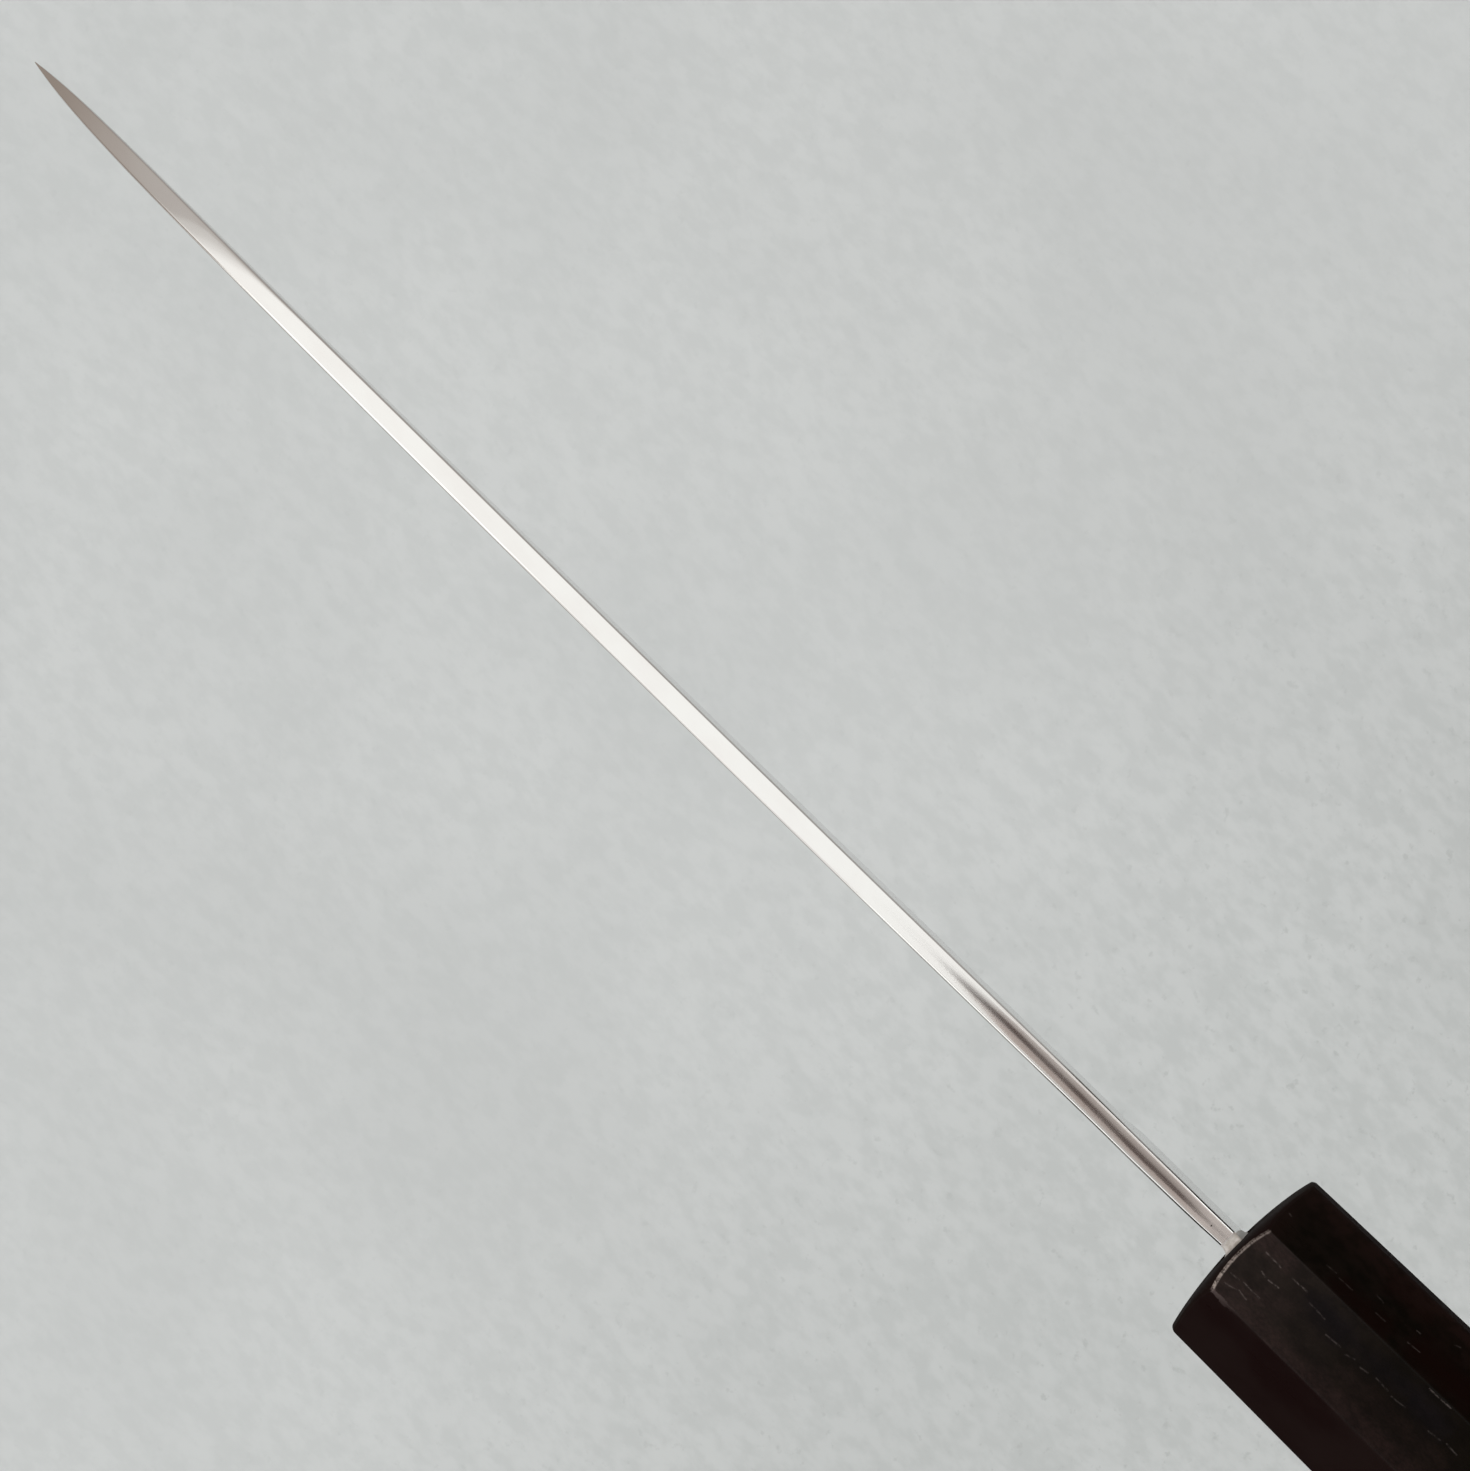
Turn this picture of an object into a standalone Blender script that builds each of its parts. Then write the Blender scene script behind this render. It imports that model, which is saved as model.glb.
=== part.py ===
"""Petty knife: a thin double-ground blade in a one-piece octagonal wooden handle.

Metres, +Z up. The knife lies along X with its tip towards -X, its spine up and its edge down.
Sizes are written in millimetres and turned into metres where points are made. Every piece is
modelled from one datum, the middle of the handle's front end: x runs from there towards the
butt, z is zero on the handle's axis. The empty knife_datum carries all of the pieces and puts
the middle of the knife's underside at the origin.
"""

import math

import bmesh
import bpy
from mathutils import Matrix, Vector

MM = 0.001

# Blade, seen from the side
BLADE_LENGTH = 150.0          # tip to heel
HEEL_HEIGHT = 29.0            # spine to edge at the heel
NECK_HEIGHT = 13.0            # bare neck between the heel and the handle
NECK_LENGTH = 15.1            # heel to the shoulders of the tang
CHOIL_RADIUS = 6.0            # round corner between the heel and the neck
SPINE_ABOVE_AXIS = 5.0        # the spine runs this far above the handle's axis
SPINE_FALL = 9.4              # the spine's long slow fall towards the tip
SPINE_FALL_LENGTH = 120.0     # and the stretch that it falls over
TIP_HOOK = 4.6                # the quicker drop of the spine close to the tip
TIP_HOOK_LENGTH = 10.0        # fades out over this length
BELLY_LENGTH = 125.0          # stretch over which the edge rises to the tip
BELLY_POWER = 2.3             # how late the edge starts to rise

# Blade, seen from the spine and in section
SPINE_THICKNESS = 2.17        # at the shoulders
DISTAL_TAPER = 0.02           # share of its thickness that the spine loses towards the tip
TIP_THINNING = 6.2            # the last stretch over which the spine thins to the point
TIP_BLUNTNESS = 0.25          # the point is ground off square this far from its corner
SPINE_CROWN_RADIUS = 19.0     # the polished spine is very slightly round across
SPINE_EASE = 0.30             # radius of its two polished corners
GRIND_POWER = 1.7             # 1 is a flat wedge, more is a fuller convex face
FLAT_POWER = 9.0              # the neck's sides are flat and parallel
GRIND_RUN_OUT = 7.0           # the ground faces fade into the flat neck behind the heel
EDGE_SHOULDER = 0.11          # half the thickness behind the cutting edge
EDGE_BEVEL = 0.55             # height of the cutting bevel

# Hidden tang
SHOULDER_STEP_TOP = 1.5       # the tang starts this far below the spine
TANG_HEIGHT = 9.0
TANG_END_HEIGHT = 5.0
TANG_THICKNESS = 1.7
TANG_END_THICKNESS = 1.4
TANG_LENGTH = 74.0            # from the shoulders to the tang's end

# Handle
HANDLE_LENGTH = 125.0
FRONT_WIDTH = 19.4
FRONT_HEIGHT = 21.8
FRONT_TOP_FACE = 7.9          # width of the flat top and bottom faces, at the front end
BUTT_WIDTH = 23.6
BUTT_HEIGHT = 24.9
BUTT_TOP_FACE = 9.4
ARRIS_EASE = 0.30             # the long corners are broken by this much
CROWN_RADIUS = 47.0           # both ends are crowned across the width
UPRIGHT_CROWN_RADIUS = 600.0  # and hardly at all from top to bottom
RIM_EASE = 0.37               # rolled-off rim, at the middle of the top face
RIM_POWER = 13.7              # it grows quickly towards the octagon's corners

# Fit of the blade in the handle
MACHI_GAP = 1.2               # shoulders to the handle's front end
SLOT_WIDTH = 3.4              # slot drilled and filed for the tang
SLOT_HEIGHT = 12.0
SLOT_BOTTOM_CLEARANCE = 3.0   # behind the tang's end
SEAL_DEPTH = 4.0              # how deep the pale seal fills the mouth
SEAL_FLARE = 0.55             # how far it spreads over the handle's front end
FIT_GAP = 0.25                # between two pieces that touch

# Fineness of the faceted surfaces
FACE_COUNT = 8
CORNER_COUNT = 3
FACET_COUNT = 5
ARC_COUNT = 8
LONG_RUN_COUNT = 14
RUN_OUT_COUNT = 4
CAP_SHARES = (0.2, 0.45, 0.65, 0.8, 0.9, 0.96, 1.0)
TIP_SHARES = (0.04, 0.09, 0.16, 0.25, 0.38, 0.54, 0.75, 1.0)
TIP_RUN = 24.0                # closely spaced sections from the tip to here
HALF_TURN = 180.0             # degrees

SHOULDER_X = -MACHI_GAP
HEEL_X = SHOULDER_X - NECK_LENGTH
TIP_X = HEEL_X - BLADE_LENGTH
BLADE_REACH = BLADE_LENGTH + NECK_LENGTH
TANG_MIDDLE = SPINE_ABOVE_AXIS - SHOULDER_STEP_TOP - TANG_HEIGHT / 2


def clear_scene():
    """Remove whatever the file already holds."""
    for thing in list(bpy.data.objects):
        bpy.data.objects.remove(thing, do_unlink=True)


def new_collection(name):
    """A collection linked to the scene."""
    collection = bpy.data.collections.new(name)
    bpy.context.scene.collection.children.link(collection)
    return collection


def new_material(name, colour, roughness, metallic=0.0):
    """A plain Principled material."""
    material = bpy.data.materials.new(name)
    material.use_nodes = True
    shader = material.node_tree.nodes["Principled BSDF"]
    shader.inputs["Base Color"].default_value = (*colour, 1.0)
    shader.inputs["Roughness"].default_value = roughness
    shader.inputs["Metallic"].default_value = metallic
    return material


def blend(first, second, share):
    """The value a share of the way from first to second."""
    return first + (second - first) * share


def smooth_step(value):
    """0 below 0, 1 above 1 and a soft S between them."""
    share = min(max(value, 0.0), 1.0)
    return share * share * (3 - 2 * share)


def spine_level(distance):
    """Height of the spine at a distance from the tip, over the handle's axis."""
    hook = TIP_HOOK * math.exp(-distance / TIP_HOOK_LENGTH)
    fall = SPINE_FALL * max(0.0, 1 - distance / SPINE_FALL_LENGTH) ** 2
    return SPINE_ABOVE_AXIS - hook - fall


def edge_level(distance):
    """Height of the cutting edge at a distance from the tip; it meets the spine at the tip."""
    heel = SPINE_ABOVE_AXIS - HEEL_HEIGHT
    rise = spine_level(0.0) - heel
    return heel + rise * max(0.0, 1 - distance / BELLY_LENGTH) ** BELLY_POWER


def spine_half_thickness(distance):
    """Half the blade's thickness at the spine: a slight distal taper, then the thin point."""
    taper = 1 - DISTAL_TAPER * (1 - distance / BLADE_REACH)
    point = 1 - math.exp(-distance / TIP_THINNING)
    return SPINE_THICKNESS / 2 * taper * point


def section(top, bottom, half, power, shoulder, bevel):
    """Closed outline (y, z) of a blade section, from the middle of the spine and round.

    The spine is crowned, its corners are round, and the face narrows from half at the spine
    to shoulder above the bevel as 1 - depth ** power.
    """
    height = top - bottom
    ease = min(SPINE_EASE, 0.45 * half, 0.25 * height)
    flat = half - ease
    sag = flat * flat / (2 * SPINE_CROWN_RADIUS)
    side = [(0.0, top), (flat / 2, top - sag / 4)]
    for step in range(CORNER_COUNT + 1):
        angle = math.pi / 2 * (1 - step / CORNER_COUNT)
        side.append((flat + ease * math.cos(angle), top - sag - ease * (1 - math.sin(angle))))
    start = top - sag - ease
    end = bottom + bevel
    for step in range(1, FACE_COUNT + 1):
        share = step / FACE_COUNT
        side.append((shoulder + (half - shoulder) * (1 - share ** power), blend(start, end, share)))
    middle = (0.0, bottom)
    mirrored = [(-y, z) for y, z in reversed(side[1:])]
    return side + [middle] + mirrored


def blade_ring(distance):
    """The blade's section at a distance from the tip, neck included."""
    half = spine_half_thickness(distance)
    top = spine_level(distance)
    bottom = edge_level(distance)
    fade = smooth_step((distance - BLADE_LENGTH) / GRIND_RUN_OUT)
    power = blend(GRIND_POWER, FLAT_POWER, fade)
    height = top - bottom
    shoulder = min(EDGE_SHOULDER, 0.5 * half)
    bevel = min(EDGE_BEVEL, 0.3 * height)
    x = TIP_X + distance
    return [(x, y, z) for y, z in section(top, bottom, half, power, shoulder, bevel)]


def tang_ring(share):
    """The tang's section, a share of the way from the shoulders to its end."""
    height = blend(TANG_HEIGHT, TANG_END_HEIGHT, share)
    half = blend(TANG_THICKNESS, TANG_END_THICKNESS, share) / 2
    top = TANG_MIDDLE + height / 2
    bottom = TANG_MIDDLE - height / 2
    x = SHOULDER_X + TANG_LENGTH * share
    return [(x, y, z) for y, z in section(top, bottom, half, FLAT_POWER, 0.8 * half, 0.02 * height)]


def loft(rings, capped=True):
    """A mesh through closed rings of equal length, in order along X."""
    mesh = bmesh.new()
    rows = [[mesh.verts.new(Vector(point) * MM) for point in ring] for ring in rings]
    count = len(rings[0])
    for row, following in zip(rows, rows[1:]):
        for index in range(count):
            after = (index + 1) % count
            mesh.faces.new((row[index], row[after], following[after], following[index]))
    if capped:
        mesh.faces.new(rows[0])
        mesh.faces.new(rows[-1])
    bmesh.ops.recalc_face_normals(mesh, faces=mesh.faces)
    return mesh


def add_object(name, mesh, collection, material=None):
    """Turn a bmesh into a named object."""
    data = bpy.data.meshes.new(name)
    mesh.to_mesh(data)
    mesh.free()
    thing = bpy.data.objects.new(name, data)
    collection.objects.link(thing)
    if material:
        data.materials.append(material)
    return thing


def outline_solid(name, corners, half_depth, collection):
    """A flat outline in x and z, given in millimetres, as a solid centred on y = 0."""
    curve = bpy.data.curves.new(name, "CURVE")
    curve.dimensions = "2D"
    curve.fill_mode = "BOTH"
    curve.extrude = half_depth * MM
    spline = curve.splines.new("POLY")
    spline.points.add(len(corners) - 1)
    for point, (x, z) in zip(spline.points, corners):
        point.co = (x * MM, z * MM, 0.0, 1.0)
    spline.use_cyclic_u = True
    drawn = bpy.data.objects.new(name + "_outline", curve)
    drawn.matrix_world = Matrix.Rotation(math.pi / 2, 4, "X")
    collection.objects.link(drawn)
    bpy.context.view_layer.update()
    evaluated = drawn.evaluated_get(bpy.context.evaluated_depsgraph_get())
    data = bpy.data.meshes.new_from_object(evaluated)
    solid = bpy.data.objects.new(name, data)
    solid.matrix_world = drawn.matrix_world
    collection.objects.link(solid)
    bpy.data.objects.remove(drawn, do_unlink=True)
    mesh = bmesh.new()
    mesh.from_mesh(data)
    bmesh.ops.remove_doubles(mesh, verts=mesh.verts, dist=1e-6)
    bmesh.ops.recalc_face_normals(mesh, faces=mesh.faces)
    mesh.to_mesh(data)
    mesh.free()
    return solid


def arc(centre, radius, start, end, steps):
    """Points on a circle from one angle to another, in degrees."""
    points = []
    for step in range(steps + 1):
        angle = math.radians(blend(start, end, step / steps))
        points.append((centre[0] + radius * math.cos(angle), centre[1] + radius * math.sin(angle)))
    return points


def hide_cutter(cutter):
    """A cutter is a guide: drawn as wire and never rendered."""
    cutter.display_type = "WIRE"
    cutter.hide_render = True


def cut(target, cutter):
    """Take the cutter's shape out of the target."""
    modifier = target.modifiers.new("cut_" + cutter.name, "BOOLEAN")
    modifier.operation = "DIFFERENCE"
    modifier.solver = "EXACT"
    modifier.object = cutter
    hide_cutter(cutter)


def make_blade(collection, cutters, material):
    """Blade, neck and hidden tang: one forging, lofted and then cut behind the heel."""
    stations = [TIP_BLUNTNESS] + [TIP_RUN * share for share in TIP_SHARES]
    for step in range(1, LONG_RUN_COUNT + 1):
        stations.append(blend(TIP_RUN, BLADE_LENGTH, step / LONG_RUN_COUNT))
    for step in range(1, RUN_OUT_COUNT + 1):
        stations.append(BLADE_LENGTH + GRIND_RUN_OUT * step / RUN_OUT_COUNT)
    stations.append(BLADE_REACH)
    rings = [blade_ring(distance) for distance in stations]
    blade = add_object("blade", loft(rings), collection, material)

    underside = SPINE_ABOVE_AXIS - NECK_HEIGHT
    below = SPINE_ABOVE_AXIS - HEEL_HEIGHT - 5.0
    beyond = SHOULDER_X + 5.0
    corner = (HEEL_X + CHOIL_RADIUS, underside - CHOIL_RADIUS)
    outline = [(HEEL_X, below)]
    outline += arc(corner, CHOIL_RADIUS, HALF_TURN, HALF_TURN / 2, ARC_COUNT)
    outline += [(beyond, underside), (beyond, below)]
    cut(blade, outline_solid("behind_the_heel", outline, SPINE_THICKNESS, cutters))

    tang_rings = [tang_ring(share) for share in (-FIT_GAP / TANG_LENGTH, 0.5, 0.96)]
    tip_height = 0.55
    end = []
    for x, y, z in tang_ring(1.0):
        end.append((x, y, TANG_MIDDLE + (z - TANG_MIDDLE) * tip_height))
    tang_rings.append(end)
    tang = add_object("tang", loft(tang_rings), cutters)
    hide_cutter(tang)
    weld = blade.modifiers.new("forged_tang", "BOOLEAN")
    weld.operation = "UNION"
    weld.solver = "EXACT"
    weld.object = tang
    return blade


def octagon(width, height, top_face):
    """Corners (y, z) of the handle's section, its slanted faces at 45 degrees."""
    half_width = width / 2
    half_height = height / 2
    top_half = top_face / 2
    side_half = half_height - (half_width - top_half)
    quarter = [(top_half, half_height), (half_width, side_half)]
    lower = [(y, -z) for y, z in reversed(quarter)]
    right = quarter + lower
    return right + [(-y, z) for y, z in reversed(right)]


def eased_outline(corners):
    """The octagon with its corners broken and each face split into short steps."""
    points = []
    count = len(corners)
    for index in range(count):
        start = Vector(corners[index])
        end = Vector(corners[(index + 1) % count])
        along = (end - start).normalized()
        first = start + along * ARRIS_EASE
        last = end - along * ARRIS_EASE
        for step in range(FACET_COUNT):
            points.append(tuple(first.lerp(last, step / (FACET_COUNT - 1))))
    return points


def end_setback(y, z, height):
    """How far the handle's end lies behind its foremost point: crown and round, rolled-off rim."""
    crown = y * y / (2 * CROWN_RADIUS) + z * z / (2 * UPRIGHT_CROWN_RADIUS)
    rim = math.hypot(y, z) / (height / 2)
    return crown + RIM_EASE * rim ** RIM_POWER


def handle_end(front, butt, height, at_butt):
    """Rings of one domed end, from its middle out to its rim, which lies on the flat faces."""
    rings = []
    outline = butt if at_butt else front
    for share in CAP_SHARES:
        ring = []
        for start, end, (y, z) in zip(front, butt, outline):
            setback = end_setback(y * share, z * share, height)
            x = HANDLE_LENGTH - setback if at_butt else setback
            reach = x / HANDLE_LENGTH
            ring.append((x, share * blend(start[0], end[0], reach), share * blend(start[1], end[1], reach)))
        rings.append(ring)
    return rings


def slot_outline(width, height, depth_from, depth_to, name, collection):
    """A slot with round ends along the handle, between two depths."""
    straight = (height - width) / 2
    middle = TANG_MIDDLE
    outline = []
    for centre, start in ((middle + straight, 0.0), (middle - straight, HALF_TURN)):
        outline += arc((0.0, centre), width / 2, start, start + HALF_TURN, ARC_COUNT)
    rings = [[(x, y, z) for y, z in outline] for x in (depth_from, depth_to)]
    return add_object(name, loft(rings), collection)


def make_handle(collection, cutters, material):
    """One block of dark wood: octagonal, swelling towards the butt, domed at both ends."""
    front = eased_outline(octagon(FRONT_WIDTH, FRONT_HEIGHT, FRONT_TOP_FACE))
    butt = eased_outline(octagon(BUTT_WIDTH, BUTT_HEIGHT, BUTT_TOP_FACE))
    front_rings = handle_end(front, butt, FRONT_HEIGHT, at_butt=False)
    butt_rings = handle_end(front, butt, BUTT_HEIGHT, at_butt=True)
    handle = add_object("handle_body", loft(front_rings + butt_rings[::-1]), collection, material)
    slot_end = SHOULDER_X + TANG_LENGTH + SLOT_BOTTOM_CLEARANCE
    cut(handle, slot_outline(SLOT_WIDTH, SLOT_HEIGHT, -5.0, slot_end, "tang_slot", cutters))
    return handle


def tang_cavity(name, collection):
    """The tang's own shape grown by the fit gap, to be cut from what surrounds it."""
    rings = []
    for share in (-0.1, 0.5, 1.0):
        ring = []
        for x, y, z in tang_ring(share):
            grown_y = y + math.copysign(FIT_GAP, y) if abs(y) > 1e-9 else 0.0
            middle = z - TANG_MIDDLE
            ring.append((x, grown_y, TANG_MIDDLE + middle + math.copysign(FIT_GAP, middle)))
        rings.append(ring)
    rings[-1] = [(x + FIT_GAP, y, z) for x, y, z in rings[-1]]
    return add_object(name, loft(rings), collection)


def make_bedding(collection, cutters, material):
    """Resin that fills the slot round the tang, behind the seal."""
    slot_end = SHOULDER_X + TANG_LENGTH + SLOT_BOTTOM_CLEARANCE
    width = SLOT_WIDTH - 2 * FIT_GAP
    height = SLOT_HEIGHT - 2 * FIT_GAP
    start = SEAL_DEPTH + FIT_GAP
    bedding = slot_outline(width, height, start, slot_end - FIT_GAP, "tang_bedding", collection)
    bedding.data.materials.append(material)
    cut(bedding, tang_cavity("bedding_cavity", cutters))
    return bedding


def make_seal(collection, cutters, material):
    """Pale seal at the mouth: a bead that flares onto the handle's end, and its plug."""
    front = SHOULDER_X + FIT_GAP
    back = -FIT_GAP
    neck_half = spine_half_thickness(BLADE_REACH)
    neck_middle = SPINE_ABOVE_AXIS - NECK_HEIGHT / 2
    straight = NECK_HEIGHT / 2 - neck_half
    rings = []
    flare_steps = 4
    for step in range(flare_steps + 1):
        share = step / flare_steps
        spread = SEAL_FLARE * (1 - math.cos(share * math.pi / 2))
        radius = neck_half + spread
        outline = arc((0.0, neck_middle + straight), radius, 0.0, HALF_TURN, ARC_COUNT)
        outline += arc((0.0, neck_middle - straight), radius, HALF_TURN, 2 * HALF_TURN, ARC_COUNT)
        rings.append([(blend(front, back, share), y, z) for y, z in outline])
    seal = add_object("mouth_seal", loft(rings), collection, material)
    width = SLOT_WIDTH - 2 * FIT_GAP
    height = SLOT_HEIGHT - 2 * FIT_GAP
    plug = slot_outline(width, height, back - 0.1, SEAL_DEPTH, "seal_plug", cutters)
    hide_cutter(plug)
    join = seal.modifiers.new("plug", "BOOLEAN")
    join.operation = "UNION"
    join.solver = "EXACT"
    join.object = plug
    cut(seal, tang_cavity("seal_cavity", cutters))
    return seal


def shade_round(thing, degrees):
    """Smooth shading between faces that meet at less than an angle."""
    thing.data.shade_smooth()
    thing.data.set_sharp_from_angle(angle=math.radians(degrees))


def main():
    """Build the knife and stand it on its frame."""
    clear_scene()
    parts = new_collection("petty_knife")
    cutters = new_collection("cutters")
    steel = new_material("polished_steel", (0.62, 0.60, 0.58), 0.22, metallic=1.0)
    wood = new_material("dark_wood", (0.016, 0.011, 0.009), 0.38)
    resin = new_material("amber_resin", (0.42, 0.30, 0.16), 0.35)
    cream = new_material("cream_seal", (0.66, 0.58, 0.48), 0.40)

    pieces = [
        make_blade(parts, cutters, steel),
        make_handle(parts, cutters, wood),
        make_bedding(parts, cutters, resin),
        make_seal(parts, cutters, cream),
    ]
    for piece in pieces:
        shade_round(piece, 24.0)

    datum = bpy.data.objects.new("knife_datum", None)
    parts.objects.link(datum)
    middle = (TIP_X + TIP_BLUNTNESS + HANDLE_LENGTH) / 2
    lowest = min(SPINE_ABOVE_AXIS - HEEL_HEIGHT, -BUTT_HEIGHT / 2)
    datum.location = (-middle * MM, 0.0, -lowest * MM)
    for thing in list(parts.objects) + list(cutters.objects):
        if thing is not datum:
            thing.parent = datum
    bpy.context.view_layer.update()
    print("overall length", round(HANDLE_LENGTH - TIP_X - TIP_BLUNTNESS, 2), "mm")


main()
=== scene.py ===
# %% [markdown]
# # A petty knife under a soft light
# Seen from straight above its spine, almost all of the knife is the finish of a polished strip of
# steel and the front end of a near-black wooden handle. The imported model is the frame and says
# where every piece is. Each visible piece is worked out again here, finer, from the same few
# dimensions, and gets a finish made of nodes.

import math

import bpy
import numpy as np
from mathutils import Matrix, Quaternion, Vector


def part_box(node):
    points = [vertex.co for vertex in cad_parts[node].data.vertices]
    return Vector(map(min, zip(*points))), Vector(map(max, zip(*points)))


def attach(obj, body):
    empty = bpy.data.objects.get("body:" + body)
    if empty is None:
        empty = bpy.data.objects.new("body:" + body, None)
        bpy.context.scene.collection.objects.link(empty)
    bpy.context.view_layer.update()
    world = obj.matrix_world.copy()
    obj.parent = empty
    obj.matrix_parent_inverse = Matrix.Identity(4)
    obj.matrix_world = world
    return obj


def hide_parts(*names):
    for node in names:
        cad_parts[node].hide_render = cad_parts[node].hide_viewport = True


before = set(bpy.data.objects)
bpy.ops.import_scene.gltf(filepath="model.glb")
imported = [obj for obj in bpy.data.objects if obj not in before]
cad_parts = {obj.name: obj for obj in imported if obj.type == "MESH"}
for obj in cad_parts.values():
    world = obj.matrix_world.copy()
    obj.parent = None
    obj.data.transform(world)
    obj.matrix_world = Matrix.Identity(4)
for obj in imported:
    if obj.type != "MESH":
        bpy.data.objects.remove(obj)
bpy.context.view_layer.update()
print("solids:", sorted(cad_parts))

# %% [markdown]
# ## One datum
# Every size is in millimetres from one datum, the middle of the handle's front end: x runs towards
# the butt, z is zero on the handle's axis. The handle's box in the frame says where that is, so
# the pieces land where the solids are without any fitting.

# %% The datum, from the handle's box
MM = 0.001
HANDLE_LENGTH = 125.0
handle_low, handle_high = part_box("handle_body")
DATUM = np.array([
    handle_high[0] / MM - HANDLE_LENGTH,
    (handle_low[1] + handle_high[1]) / 2 / MM,
    (handle_low[2] + handle_high[2]) / 2 / MM,
])
print("datum at", DATUM.round(3), "mm")

# %% [markdown]
# ## Surfaces from grids
# A piece is a grid of points: rows run along it, and columns run round it and close on themselves.
# Each end is closed by a fan of triangles to one middle point. The sign of the volume says whether
# the faces point outwards, so a grid wound the wrong way is turned over.


# %% A closed grid becomes a piece
def shown(name, data):
    """An object that holds the data, in the scene."""
    thing = bpy.data.objects.new(name, data)
    bpy.context.scene.collection.objects.link(thing)
    return thing


def volume_of(points, triangles):
    """Sum of the signed volumes of the tetrahedra from the origin to each triangle."""
    a, b, c = (points[triangles[:, k]] for k in range(3))
    return float((np.cross(a, b) * c).sum() / 6)


def piece_from_grid(name, grid, ring_of_rows=False, values=None):
    """A mesh from grid (rows, columns, 3) in millimetres, closed by fans or, for a ring, on itself.

    values holds one number a point for each named attribute.
    """
    rows, columns = grid.shape[:2]
    points, total = grid.reshape(-1, 3), rows * columns
    row = np.arange(rows if ring_of_rows else rows - 1)[:, None] * columns
    here = np.arange(columns)
    after = (here + 1) % columns
    quads = np.stack([row + here, row + after, row + columns + after, row + columns + here], axis=-1)
    quads = quads.reshape(-1, 4) % total
    fans = np.zeros((0, 3), int)
    if not ring_of_rows:
        middle, last_row = np.full(columns, total), total - columns
        start = np.stack([middle, after, here], axis=-1)
        end = np.stack([middle + 1, last_row + here, last_row + after], axis=-1)
        fans = np.concatenate([start, end])
        points = np.concatenate([points, grid[0].mean(axis=0)[None], grid[-1].mean(axis=0)[None]])
    triangles = np.concatenate([quads[:, [0, 1, 2]], quads[:, [0, 2, 3]], fans])
    if volume_of(points, triangles) < 0:
        quads, fans = quads[:, ::-1], fans[:, ::-1]
    mesh = bpy.data.meshes.new(name)
    mesh.from_pydata(((points + DATUM) * MM).tolist(), [], quads.tolist() + fans.tolist())
    for key, given in (values or {}).items():
        spread = np.zeros(len(points), np.float32)
        spread[:total] = np.broadcast_to(given, (rows, columns)).reshape(-1)
        if not ring_of_rows:
            spread[-2:] = spread[0], spread[total - 1]
        mesh.attributes.new(key, "FLOAT", "POINT").data.foreach_set("value", spread)
    mesh.shade_smooth()
    mesh.update()
    piece = shown(name, mesh)
    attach(piece, "root")
    print(name, "faces", len(mesh.polygons), "volume", round(abs(volume_of(points, triangles)), 1), "mm3")
    return piece


def blend(first, second, share):
    """The value a share of the way from first to second."""
    return first + (second - first) * share


def smooth_step(value):
    """0 below 0, 1 above 1 and a soft S between them."""
    share = np.clip(value, 0.0, 1.0)
    return share * share * (3 - 2 * share)


# %% [markdown]
# ## The blade
# One forging: a thin double-ground blade, a bare neck and a tang hidden in the handle. A boolean
# cut would do for the heel, but it leaves ragged facets in polished steel. Here each row of the
# grid runs from a point on the spine to one on the underside and back, and the underside's path
# goes along the edge, up the heel, round the choil and along the neck.

# %% The blade's numbers
# The solid's blade is 150 mm long. This one is a hair shorter, so that its point is inside the box.
BLADE_LENGTH = 149.994
HEEL_HEIGHT = 29.0
NECK_HEIGHT = 13.0
NECK_LENGTH = 15.1
CHOIL_RADIUS = 6.0
SPINE_ABOVE_AXIS = 5.0
SPINE_FALL, SPINE_FALL_LENGTH = 9.4, 120.0
TIP_HOOK, TIP_HOOK_LENGTH = 4.6, 10.0
BELLY_LENGTH, BELLY_POWER = 125.0, 2.3
SPINE_THICKNESS, DISTAL_TAPER = 2.17, 0.02
TIP_THINNING, TIP_BLUNTNESS = 6.2, 0.25
SPINE_CROWN_RADIUS, SPINE_EASE = 19.0, 0.30
GRIND_POWER, FLAT_POWER, GRIND_RUN_OUT = 1.7, 9.0, 7.0
EDGE_SHOULDER, EDGE_BEVEL = 0.11, 0.55
NECK_WAIST, WAIST_LENGTH, WAIST_POWER = 0.15, 18.0, 2.2
SHOULDER_X = -1.2
HEEL_X = SHOULDER_X - NECK_LENGTH
TIP_X = HEEL_X - BLADE_LENGTH
NECK_END_X = -0.30
BLADE_REACH = BLADE_LENGTH + NECK_LENGTH


def spine_level(distance):
    """Spine height: level, less a square-law fall towards the tip and a quick exponential hook."""
    hook = TIP_HOOK * np.exp(-distance / TIP_HOOK_LENGTH)
    fall = SPINE_FALL * np.maximum(0.0, 1 - distance / SPINE_FALL_LENGTH) ** 2
    return SPINE_ABOVE_AXIS - hook - fall


def edge_level(distance):
    """Edge height: level at the heel, rising as a power of the share of the belly that is left."""
    heel = SPINE_ABOVE_AXIS - HEEL_HEIGHT
    rise = spine_level(0.0) - heel
    return heel + rise * np.maximum(0.0, 1 - distance / BELLY_LENGTH) ** BELLY_POWER


def bevel_height(distance):
    """Height of the cutting bevel, at most three tenths of the blade's own height at the point."""
    return np.minimum(EDGE_BEVEL, 0.3 * (spine_level(distance) - edge_level(distance)))


def neck_waist(x):
    """How much thinner each side of the neck is rubbed: a power law from the blade to the handle."""
    return NECK_WAIST * np.clip(1 + np.minimum(x, 0.0) / WAIST_LENGTH, 0.0, 1.0) ** WAIST_POWER


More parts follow.
